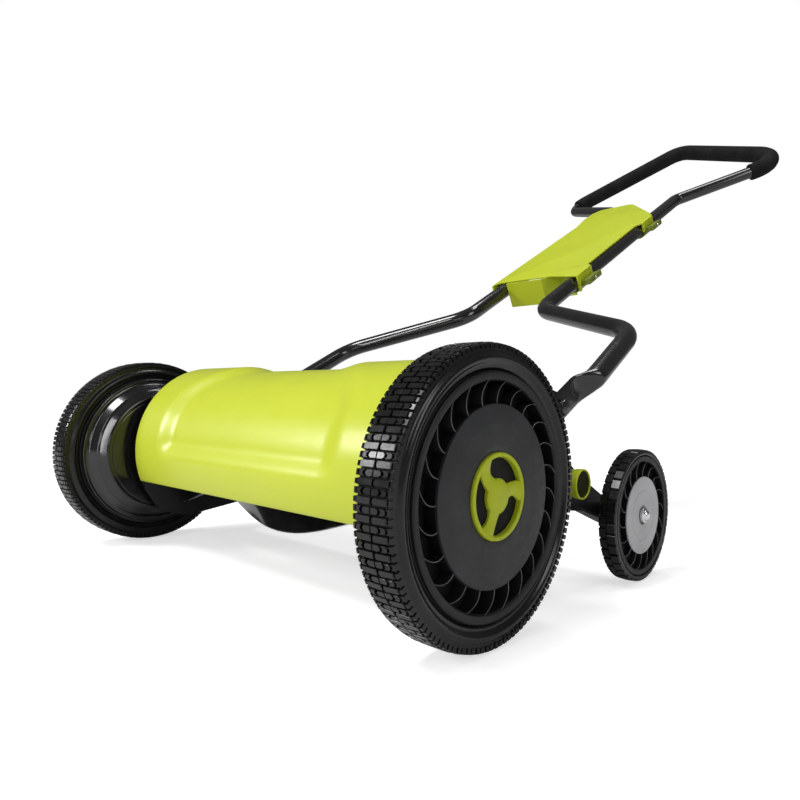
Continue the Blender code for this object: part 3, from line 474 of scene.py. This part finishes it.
def vanes(name, side, centre, count, inner, outer, lean, thick, low, high):
    """A ring of vanes, painted black as shade inside the vent and painted a lighter grey along their edges
    as a highlight.
    """
    verts, faces, slots = [], [], []
    for k in range(count):
        more, sides = vane(2 * math.pi * k / count, inner, outer, lean, thick, low, high)
        base = len(verts)
        verts += more
        for index, face in enumerate(sides):
            faces.append(tuple(base + i for i in face))
            # Painted highlight on the vane's top faces; painted shade on its other faces.
            edge = index < len(sides) - 2 and index % 6 in (1, 2, 3)
            slots.append(VANE_HIGHLIGHT_LOOK if edge else VENT_SHADE_LOOK)
    mesh = mesh_of(name, verts, faces, slots)
    mesh.transform(outward(side, centre))
    return mesh


def shaded_vent_sheet(name, side, centre, body, slot, inner, outer, low, high):
    """Painted shade inside a vent: a near-black sheet over its floor and both of its walls."""
    thin = 0.0003
    channel = lathe(name, [
        (inner - thin, low - 2 * thin), (outer + thin, low - 2 * thin), (outer + thin, high),
        (outer - thin, high), (outer - thin, low + thin), (inner + thin, low + thin),
        (inner + thin, high), (inner - thin, high)], side, centre, 96, 0)
    piece(name, channel, body, slot, looks=["vent_shade"])


def front_rim(side):
    name = SIDES[side]
    rim = lathe(f"{name}_rim", [
        (RIM_R, 0.3134), (RIM_R, 0.2798), (0.0990, 0.2798), (0.0990, 0.2975), (0.0170, 0.2975),
        (0.0170, 0.2840), (0.0140, 0.2840), (0.0140, 0.3030), (0.0350, 0.3030),
        (CAP_R + 0.0004, 0.3176), (0.0420, 0.3182), (0.0600, 0.3183), (HUB_DISC_R - 0.0006, 0.3176),
        (HUB_DISC_R, 0.3166), (HUB_DISC_R - 0.0008, 0.3030), (VENT_R + 0.0008, 0.3030),
        (VENT_R, 0.3150), (VENT_R + 0.0010, 0.3164), (0.0985, 0.3168), (0.1015, 0.3172),
        (0.1030, 0.3166), (0.1032, 0.3140)], side, AXLE, 160, 0.0005)
    repaint(rim, AXLE, VENT_R - 0.0004, RING_LOOK)
    blades = vanes(f"{name}_vane_ring", side, AXLE, VANES, HUB_DISC_R - 0.0015,
                   VENT_R + 0.0015, math.radians(-8.5), 0.0009, 0.3025, 0.3160)
    piece(f"{name}_rim_detail", join(f"{name}_rim_detail", [rim, blades]), f"{name}_wheel",
          "hub_plastic", f"{name}_wheel_rim",
          looks=["hub_plastic", "vent_shade", "black_plastic", "vane_highlight"])
    # Painted shade in the vent between the disc and the outer ring.
    shaded_vent_sheet(f"{name}_vent_liner", side, AXLE, f"{name}_wheel", "hub_plastic", HUB_DISC_R, VENT_R,
               0.3032, 0.3148)


def hub_cap(side):
    """A ring with three broad domed spokes, over a disc painted near-black as the shade of the hollow
    beneath it.
    """
    name = SIDES[side]
    ring = lathe(f"{name}_cap_ring", [
        (CAP_R, 0.3146), (CAP_R, 0.3196), (CAP_R - 0.0008, 0.3205), (CAP_R - 0.0030, 0.3205),
        (CAP_R - 0.0040, 0.3194), (CAP_R - 0.0040, 0.3146)], side, AXLE, 96, 0.0006)
    dome = lathe(f"{name}_cap_dome", [
        (0, 0.3146), (0.0150, 0.3146), (0.0150, 0.3182), (0.0130, 0.3197), (0.0095, 0.3205),
        (0.0050, 0.3208), (0, 0.3208)], side, AXLE, 64, 0.0008)
    spokes = []
    for k in range(3):
        turn = math.radians(90 + 120 * k)
        verts, faces = [], []
        for step in range(11):
            t = step / 10
            r = 0.0090 + (CAP_R - 0.0100) * t
            half = 0.0085 - 0.0030 * math.sin(math.pi * t) + 0.0020 * t * t
            top = 0.3200 - 0.0018 * math.sin(math.pi * min(1, t * 1.05))
            lean = 0.0045 * math.sin(math.pi * t)
            for across, x in ((-1, 0.3146), (-1, top - 0.0012), (-0.75, top), (0, top + 0.0004),
                              (0.75, top), (1, top - 0.0012), (1, 0.3146)):
                w = across * half + lean
                verts.append((r * math.cos(turn) - w * math.sin(turn),
                              r * math.sin(turn) + w * math.cos(turn), x))
            if step:
                base = 7 * (step - 1)
                faces += [(base + j, base + (j + 1) % 7, base + 7 + (j + 1) % 7, base + 7 + j)
                          for j in range(7)]
        faces += [tuple(range(6, -1, -1)), tuple(70 + j for j in range(7))]
        spoke = mesh_of(f"{name}_spoke_{k}", verts, faces)
        spoke.transform(outward(side, AXLE))
        spokes.append(spoke)
    piece(f"{name}_cap_detail", join(f"{name}_cap_detail", [ring, dome] + spokes),
          f"{name}_wheel", "lime_plastic", f"{name}_hub_cap")
    # Painted shade: a near-black disc behind the cap's spokes.
    shade_disc = lathe(f"{name}_cap_shade_disc", [
        (0, 0.3143), (CAP_R + 0.0002, 0.3143), (CAP_R + 0.0002, 0.3150), (0.020, 0.3152),
        (0, 0.3152)], side, AXLE, 64, 0)
    piece(f"{name}_cap_shade_disc", shade_disc, f"{name}_wheel", "hub_plastic", looks=["vent_shade"])


def rear_rim(side):
    name = SIDES[side]
    rim = lathe(f"{name}_rear_hub", [
        (REAR_RIM_R, 0.3122), (REAR_RIM_R, 0.2960), (0.0600, 0.2960), (0.0600, 0.3030),
        (0.0140, 0.3030), (0.0140, 0.2952), (0.0052, 0.2952), (0.0052, 0.3090), (0.0110, 0.3090),
        (0.0110, 0.3128), (0.0280, 0.3130), (0.0283, 0.3126), (0.0289, 0.3126), (0.0292, 0.3130),
        (REAR_DISC_R - 0.0004, 0.3132), (REAR_DISC_R, 0.3128), (REAR_DISC_R, 0.3055),
        (REAR_VENT_R, 0.3055), (REAR_VENT_R, 0.3126), (0.0630, 0.3132), (0.0650, 0.3130),
        (0.0680, 0.3134)], side, REAR, 128, 0.0004)
    repaint(rim, REAR, REAR_VENT_R - 0.0004, RING_LOOK)
    blades = vanes(f"{name}_rear_vane_ring", side, REAR, REAR_VANES,
                   REAR_DISC_R - 0.0012, REAR_VENT_R + 0.0012, math.radians(-12), 0.0009, 0.3050, 0.3120)
    piece(f"{name}_rear_rim_detail", join(f"{name}_rear_rim_detail", [rim, blades]),
          f"{name}_rear_wheel", "grey_plastic", f"{name}_rear_rim",
          looks=["grey_plastic", "vent_shade", "black_plastic", "vane_highlight"])
    # Painted shade in the vent between the disc and the outer ring.
    shaded_vent_sheet(f"{name}_rear_vent_liner", side, REAR, f"{name}_rear_wheel", "grey_plastic",
               REAR_DISC_R, REAR_VENT_R, 0.3058, 0.3118)
    nut = lathe(f"{name}_axle_nut", [
        (0, 0.3200), (0.0026, 0.3198), (0.0045, 0.3192), (0.0060, 0.3178), (0.0066, 0.3162),
        (0.0086, 0.3158), (0.0088, 0.3130), (0.0088, 0.3093), (0, 0.3093)], side, REAR, 48, 0.0004)
    piece(f"{name}_axle_nut", nut, "carriage", "chrome", f"{name}_rear_nut")


# ---- side frames, covers and fixings ------------------------------------------------------------
def soften(node, look, width=0.0006, segments=2):
    """A carried-over solid with its material, its welded edges rounded."""
    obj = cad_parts[node]
    obj.data.materials.clear()
    obj.data.materials.append(LOOKS[look])
    weld = obj.modifiers.new("weld", "WELD")
    weld.merge_threshold = WELD
    bevel = obj.modifiers.new("bevel", "BEVEL")
    bevel.width = width
    bevel.segments = segments
    bevel.limit_method = "ANGLE"
    bevel.angle_limit = math.radians(40)
    bevel.harden_normals = False
    obj.data.shade_smooth()
    return obj


def gear_cover(side):
    """The dished, glossy disc that closes the wheel's geared side."""
    name = SIDES[side]
    cover = lathe(f"{name}_cover_detail", [
        (0.1022, 0.2766), (0.1022, 0.2726), (0.1008, 0.2722), (0.0990, 0.2728), (0.0972, 0.2722),
        (0.0952, 0.2712), (0.0885, 0.2600), (0.0868, 0.2592), (0.0800, 0.2508), (0.0780, 0.2500),
        (0.0740, 0.2503), (0.0730, 0.2500), (0.0200, 0.2500), (0.0200, 0.2525), (0.0784, 0.2525),
        (0.0945, 0.2766)], side, AXLE, 128, 0.0012)
    piece(f"{name}_cover_detail", cover, "chassis", "black_plastic", f"{name}_gear_cover",
          looks=["black_paint"])


# ---- deck ---------------------------------------------------------------------------------------
def deck_point(across, round_, lift=0.0):
    """A point of the deck sheet: across is X, and round_ is 0 at the front and 90 degrees on top."""
    upper = smooth_step((round_ - 30) / 60)
    edge = 0.160 - (0.046 if across < 0 else 0.078) * upper
    blend = 0.016 + (0.0 if across < 0 else 0.010) * upper
    pressed = smooth_step((edge + blend - abs(across)) / (2 * blend)) * smooth_step((round_ + 4) / 12)
    radius = DECK_R - DECK_PRESS * pressed + lift
    angle = math.radians(round_)
    return place(across, DECK_Y - radius * math.cos(angle), DECK_Z + radius * math.sin(angle))


def deck():
    columns, rows = 150, 84
    verts, faces = [], []
    for j in range(rows + 1):
        round_ = -22 + 156 * j / rows
        for i in range(columns + 1):
            across = DECK_HALF * (2 * i / columns - 1)
            verts.append(deck_point(across, round_))
            if i and j:
                base = j * (columns + 1) + i
                faces.append((base - columns - 2, base - columns - 1, base, base - 1))
    mesh = bpy.data.meshes.new("deck_sheet")
    mesh.from_pydata([tuple(v) for v in verts], [], faces)
    deck_piece = piece("deck_sheet", mesh, "chassis", "lime_paint", "deck_cover")
    sheet = deck_piece.modifiers.new("sheet", "SOLIDIFY")
    sheet.thickness = DECK_SHEET
    sheet.offset = 1
    sheet.use_even_offset = True
    rim = deck_piece.modifiers.new("rim", "BEVEL")
    rim.width = 0.0008
    rim.segments = 2
    rim.limit_method = "ANGLE"
    rim.angle_limit = math.radians(50)
    return deck_piece


# ---- reel ---------------------------------------------------------------------------------------
def blade_angle(across, index):
    return -math.pi / 2 - FIRST_BLADE - 2 * math.pi * index / BLADES - TWIST * across


def reel_blade(index):
    """A twisted bar on edge, with a bright ground face along its cutting edge."""
    section = [(BLADE_ROOT_R, -0.0020), (REEL_R - 0.0012, -0.0020), (REEL_R, -0.0014),
               (REEL_R, -0.0002), (REEL_R - 0.0048, 0.0020), (BLADE_ROOT_R, 0.0020)]
    steps, count = 96, len(section)
    verts, faces, slots = [], [], []
    for step in range(steps + 1):
        along = REEL_HALF * (2 * step / steps - 1)
        angle = blade_angle(along, index)
        for r, thick in section:
            verts.append((r * math.cos(angle) - thick * math.sin(angle),
                          r * math.sin(angle) + thick * math.cos(angle), along))
        if step:
            base = count * (step - 1)
            for j in range(count):
                i = (j + 1) % count
                faces.append((base + j, base + i, base + count + i, base + count + j))
                slots.append(1 if j in (2, 3) else 0)
    faces += [tuple(range(count - 1, -1, -1)), tuple(count * steps + j for j in range(count))]
    slots += [0, 0]
    mesh = mesh_of(f"reel_blade_{index + 1}_detail", verts, faces, slots)
    mesh.transform(Matrix.Translation((0, REEL.y, REEL.z)) @ SIDEWAYS)
    piece(f"reel_blade_{index + 1}_detail", mesh, "reel", "black_paint", f"reel_blade_{index + 1}",
          looks=["black_paint", "ground_steel"], smooth=25)


def shaft(name, radius, half, centre, body, slot, replaced, look=None, chamfer=0.0008):
    mesh = lathe(name, [(0, half), (radius - chamfer, half), (radius, half - chamfer),
                        (radius, chamfer - half), (radius - chamfer, -half), (0, -half)], 1, centre,
                 48, 0)
    piece(name, mesh, body, slot, replaced, looks=[look or slot])


# ---- knobs --------------------------------------------------------------------------------------
def height_knob(side):
    """A thin-walled cup, open outward, on a collar."""
    name = SIDES[side]
    centre = middle(f"{name}_height_knob")
    cup = lathe(f"{name}_knob_cup", [
        (0, 0.2712), (0.0118, 0.2712), (0.0132, 0.2730), (0.0146, 0.2872), (0.0152, 0.2880),
        (0.0160, 0.2880), (0.0166, 0.2872), (0.0161, 0.2790), (0.0152, 0.2782), (0.0152, 0.2690),
        (0.0146, 0.2678), (0.0024, 0.2678), (0.0024, 0.2562), (0, 0.2562)], side, centre, 64,
        0.0006)
    piece(f"{name}_knob_cup", cup, f"{name}_knob", "lime_plastic", f"{name}_height_knob")
    # Painted shade: a dark olive sheet just inside the cup, where its hollow is in shade.
    shade_sheet = lathe(f"{name}_knob_shade_sheet", [
        (0, 0.2715), (0.0120, 0.2715), (0.0134, 0.2734), (0.0147, 0.2866), (0.0143, 0.2866),
        (0.0131, 0.2740), (0.0116, 0.2722), (0, 0.2722)], side, centre, 64, 0)
    piece(f"{name}_knob_shade_sheet", shade_sheet, f"{name}_knob", "lime_plastic", looks=["cup_shade"])


# ---- handle -------------------------------------------------------------------------------------
def lower_path(side):
    slope = (FOOT[1] - FOOT[0]).normalized()
    start = FOOT[0] + slope * ((0.170 - FOOT[0].y) / slope.y)
    points = [place(side * p.x, p.y, p.z) for p in (start, FOOT[1])]
    points += [in_handle(side * RUN_X, 0, 0), in_handle(side * RUN_X, JOINT_ALONG, 0)]
    path = rounded_path(points, (0.060, 0.050), 16)
    along = (path[1] - path[0]).normalized()
    return [path[0] + along * 0.0026 * k for k in range(41)] + path[1:], along


def lower_tube(side):
    name = SIDES[side]
    path, along = lower_path(side)
    start = path[0]
    mesh = tube(f"{name}_lower_tube_detail", path, TUBE_R, 8)
    across = along.cross(Vector((1, 0, 0))).normalized()
    inner = BLOCK_OUT + 0.0003
    tip, flat, blend, sheet = 0.0150, 0.060, 0.036, 0.0040
    dent_at, dent_depth = 0.074, 0.0042
    for vert in mesh.vertices:
        offset = vert.co - start
        reach = offset.dot(along)
        if reach > 0.103 or offset.length > 0.130:
            continue
        press = 1 - smooth_step((reach - flat) / blend)
        centre = start + along * reach
        wide = offset.dot(across)
        end = math.sqrt(max(0.0, 1 - (1 - min(1.0, reach / tip)) ** 2))
        stretch = (1 + 0.34 * press) * max(0.30, end)
        depth = (vert.co.x - centre.x) * side
        share = (depth + TUBE_R) / (2 * TUBE_R)
        rim = 0.0010 * abs(wide / TUBE_R) ** 4
        dent = dent_depth * math.exp(-((reach - dent_at) / 0.013) ** 2 - (wide / 0.0075) ** 2)
        pressed = inner + share * (sheet + rim)
        x = (abs(centre.x) + depth) * (1 - press) + pressed * press - dent * max(0.0, 2 * share - 1)
        spot = vert.co + across * wide * (stretch - 1)
        vert.co = (side * max(x, inner), spot.y, spot.z)
    piece(f"{name}_lower_tube_detail", mesh, "handle", "black_paint", f"{name}_lower_tube",
          smooth=50)


def upper_tube():
    low = JOINT_ALONG + 0.0006
    points = [in_handle(-RUN_X, low, 0), in_handle(-RUN_X, RUN_LENGTH, 0), place(*CORNERS[-1]),
              place(*APEX), place(*CORNERS[1]), in_handle(RUN_X, RUN_LENGTH, 0),
              in_handle(RUN_X, low, 0)]
    path = rounded_path(points, BENDS, 16)
    piece("upper_tube_detail", tube("upper_tube_detail", path, TUBE_R, 8), "handle", "black_paint",
          "upper_handle_tube", smooth=60)


def foam_grip():
    """Along the grip bar: from inside its left bend, round the right corner and down the flare."""
    left, apex, right = place(*CORNERS[-1]), place(*APEX), place(*CORNERS[1])
    down = (in_handle(RUN_X, RUN_LENGTH, 0) - right).normalized()
    flare = (in_handle(-RUN_X, RUN_LENGTH, 0) - left).normalized()
    points = [left + flare * FLARE_REACH, left, apex, right, right + down * FOAM_DOWN]
    path = rounded_path(points, BENDS[1:4], BEND_STEPS)[FOAM_FROM:]
    for tip, away in ((0, path[1] - path[0]), (-1, path[-2] - path[-1])):
        steps = [path[tip] + away.normalized() * d for d in (0.0, 0.0008, 0.0022)]
        path = steps + path[1:] if tip == 0 else path[:-1] + steps[::-1]
    widths = [1.0] * len(path)
    for k, w in enumerate((0.86, 0.95, 1.0)):
        widths[k] = widths[-1 - k] = w
    foam = piece("foam_grip_detail", tube("foam_grip_detail", path, FOAM_R, 8, widths), "handle",
                 "foam_rubber", "foam_grip", smooth=70)


PANEL_TOP, PANEL_SHEET = 0.0158, 0.0030


def panel_frame(rotated=False):
    """The panel's plane, or the section across the tubes, whose own Z runs down the handle."""
    tilt = SLOPE + (math.pi / 2 if rotated else 0)
    return lambda x, along=0.0: (Matrix.Translation(in_handle(x, along, 0))
                                 @ Euler((tilt, 0, 0)).to_matrix().to_4x4())


def handle_panel():
    """A plate over both tubes, with walls outside them, and a skirt across its lower end."""
    outline = [(-0.0888, 0.1140), (-0.0780, 0.1300), (0.0300, 0.1300), (0.0888, 0.1100),
               (0.0888, 0.1660), (0.0780, 0.1740), (0.0780, 0.4000), (0.0888, 0.4080),
               (0.0888, 0.4600), (0.0752, 0.4856), (-0.0080, 0.6080), (-0.0220, 0.6160),
               (-0.0880, 0.6140), (-0.1000, 0.5900), (-0.1000, 0.5450), (-0.0888, 0.4800)]
    outline = [tuple(p) for p in fillet(outline, 0.006, 4)]
    level = panel_frame()(0)
    meshes = [plate("panel_top", [outline], PANEL_TOP - PANEL_SHEET, PANEL_TOP, 0.0010, level)]
    for x0, x1, t0, t1, low, high in (
            (-0.0888, -0.0858, 0.1150, 0.6000, -0.0060, 0.0148),
            (0.0858, 0.0888, 0.1105, 0.1655, -0.0030, 0.0148),
            (0.0858, 0.0888, 0.1105, 0.1165, -0.0130, -0.0010),
            (0.0858, 0.0888, 0.4085, 0.4600, -0.0030, 0.0148)):
        meshes.append(plate("panel_wall", [[(x0, t0), (x1, t0), (x1, t1), (x0, t1)]], low, high,
                            0.0005, level))
    skirt = [(-0.0600, 0.1200), (0.0130, 0.1200), (0.0340, 0.1500), (0.0580, 0.1500),
             (0.0580, 0.1530), (0.0325, 0.1530), (0.0115, 0.1230), (-0.0600, 0.1230)]
    meshes.append(plate("panel_skirt", [skirt], -0.0315, 0.0148, 0.0005, level))
    piece("panel_detail", join("panel_detail", meshes), "handle", "lime_plastic", "handle_panel",
          smooth=50)


def panel_clip(name, low, high):
    knuckle = 0.0202
    hook = arc(0, 0, 0.0166, -118, -18, 14)
    tab = [(0.0300, -0.0046), (0.0330, -0.0034), (0.0335, -0.0010), (0.0335, 0.0036),
           (0.0320, 0.0060), (0.0300, 0.0062)]
    top = arc(knuckle, 0, 0.0036, 75, 200, 10) + [(0.0166, -0.0037)]
    outline = hook + tab + top + arc(0, 0, 0.0130, -16, -118, 14)
    frame_at = panel_frame(True)(RUN_X)
    mesh = plate(f"{name}_detail", [outline], -high, -low, 0.0006, frame_at)
    piece(f"{name}_detail", mesh, name, "olive_plastic", name, smooth=45)
    pin = lathe(f"{name}_pin", [(0, 0.0012), (0.0022, 0.0012), (0.0028, 0.0006), (0.0028, -0.004),
                                (0, -0.004)], 1, Vector((0, 0, 0)), 32, 0.0003)
    spot = in_handle(RUN_X + 0.0335, (low + high) / 2, 0.0010)
    pin.transform(Matrix.Translation(spot))
    piece(f"{name}_pin", pin, name, "steel", looks=["chrome"])


# ---- build --------------------------------------------------------------------------------------
for one_side, label in SIDES.items():
    front_tyre(one_side)
    front_rim(one_side)
    hub_cap(one_side)
    rear_tyre(one_side)
    rear_rim(one_side)
    gear_cover(one_side)
    height_knob(one_side)
    lower_tube(one_side)
    soften(f"{label}_side_plate", "black_plastic", 0.0012)
    soften(f"{label}_rear_arm", "black_plastic", 0.0008)
    for part, look in (("reel_bearing", "steel"), ("axle_bolt", "steel"), ("pivot_bolt", "steel"),
                       ("handle_bolt", "black_paint"), ("knife_screw", "steel"), ("pinion", "steel"),
                       ("drive_key", "steel")):
        soften(f"{label}_{part}", look, 0.0003)
deck()
for number in range(BLADES):
    reel_blade(number)
for label in ("left", "middle", "right"):
    soften(f"reel_spider_{label}", "black_paint", 0.0005)
soften("cutter_bar", "black_paint", 0.0006)
soften("bed_knife", "ground_steel", 0.0003)
shaft("reel_shaft_detail", 0.0075, 0.2945, REEL, "reel", "steel", "reel_shaft")
shaft("rear_axle_detail", 0.0050, 0.3120, REAR, "carriage", "steel", "rear_axle")
shaft("tie_bar_detail", 0.0110, 0.2319, middle("tie_bar"), "chassis", "black_paint", "tie_bar")
upper_tube()
foam_grip()
handle_panel()
for label, first, last in (("right_lower_clip", 0.118, 0.162), ("right_upper_clip", 0.415, 0.457)):
    panel_clip(label, first, last)


# ---- stage, light and camera --------------------------------------------------------------------
FLOOR_SHADE, FLOOR_GLOW = 0.70, 0.62
AMBIENT, SKY_POWER, SKY_SPREAD = 0.12, 1.8, math.radians(20)


def stage():
    bpy.ops.mesh.primitive_plane_add(size=60, location=(0, 0, -0.0005))
    floor = bpy.context.object
    floor.name = "floor"
    paint = bpy.data.materials.new("floor")
    paint.use_nodes = True
    shader = paint.node_tree.nodes["Principled BSDF"]
    shader.inputs["Base Color"].default_value = (FLOOR_SHADE, FLOOR_SHADE, FLOOR_SHADE, 1)
    shader.inputs["Roughness"].default_value = 0.8
    shader.inputs["Specular IOR Level"].default_value = 0.1
    shader.inputs["Emission Color"].default_value = (1, 1, 1, 1)
    seen = paint.node_tree.nodes.new("ShaderNodeLightPath")
    glow = paint.node_tree.nodes.new("ShaderNodeMath")
    glow.operation = "MULTIPLY"
    glow.inputs[1].default_value = FLOOR_GLOW
    paint.node_tree.links.new(seen.outputs["Is Camera Ray"], glow.inputs[0])
    paint.node_tree.links.new(glow.outputs["Value"], shader.inputs["Emission Strength"])
    floor.data.materials.append(paint)


def area(name, where, target, size, power):
    light = bpy.data.lights.new(name, "AREA")
    light.shape = "RECTANGLE"
    light.size, light.size_y = size
    light.energy = power
    obj = bpy.data.objects.new(name, light)
    bpy.context.scene.collection.objects.link(obj)
    obj.location = where
    obj.rotation_euler = (Vector(target) - Vector(where)).to_track_quat("-Z", "Y").to_euler()


def lights():
    world = bpy.data.worlds.new("studio")
    bpy.context.scene.world = world
    world.use_nodes = True
    nodes, links = world.node_tree.nodes, world.node_tree.links
    nodes.clear()
    seen, lit = nodes.new("ShaderNodeBackground"), nodes.new("ShaderNodeBackground")
    seen.inputs["Color"].default_value = lit.inputs["Color"].default_value = (1, 1, 1, 1)
    seen.inputs["Strength"].default_value = 1.0
    lit.inputs["Strength"].default_value = AMBIENT
    path, mix = nodes.new("ShaderNodeLightPath"), nodes.new("ShaderNodeMixShader")
    out = nodes.new("ShaderNodeOutputWorld")
    links.new(path.outputs["Is Camera Ray"], mix.inputs["Fac"])
    links.new(lit.outputs["Background"], mix.inputs[1])
    links.new(seen.outputs["Background"], mix.inputs[2])
    links.new(mix.outputs["Shader"], out.inputs["Surface"])
    sun = bpy.data.lights.new("sky", "SUN")
    sun.energy = SKY_POWER
    sun.angle = SKY_SPREAD
    obj = bpy.data.objects.new("sky", sun)
    bpy.context.scene.collection.objects.link(obj)
    obj.rotation_euler = Vector((0.25, 0.55, -1.0)).to_track_quat("-Z", "Y").to_euler()
    area("softbox_left", (-1.8, -2.5, 1.2), (0.1, -0.5, 0.2), (0.6, 0.75), 32)
    area("strip_front", (0.25, -3.0, 1.0), (0.2, -0.5, 0.2), (0.25, 2.4), 22)
    area("fill", (2.0, -2.6, 0.7), (0.1, -0.1, 0.4), (1.6, 0.5), 6)
    area("softbox_right", (2.6, -0.4, 1.5), (0, -0.1, 0.3), (0.7, 1.4), 14)
    area("softbox_top", (0.2, 0.4, 2.6), (0, -0.2, 0.2), (1.6, 0.4), 16)


def camera():
    turn, pitch, roll = math.radians(43.232), math.radians(-0.137), math.radians(0.971)
    back = Vector((math.sin(turn) * math.cos(pitch), -math.cos(turn) * math.cos(pitch),
                   math.sin(pitch)))
    right = Vector((math.cos(turn), math.sin(turn), 0))
    up = back.cross(right)
    right, up = (right * math.cos(roll) + up * math.sin(roll),
                 up * math.cos(roll) - right * math.sin(roll))
    data = bpy.data.cameras.new("camera")
    data.lens, data.sensor_width = 29.254, 36
    obj = bpy.data.objects.new("camera", data)
    bpy.context.scene.collection.objects.link(obj)
    basis = Matrix((right, up, back)).transposed().to_4x4()
    obj.matrix_world = Matrix.Translation(place(0.6231, -0.4436, 0.2033)) @ basis
    bpy.context.scene.camera = obj


stage()
lights()
camera()
bpy.context.scene.view_settings.view_transform = "Standard"
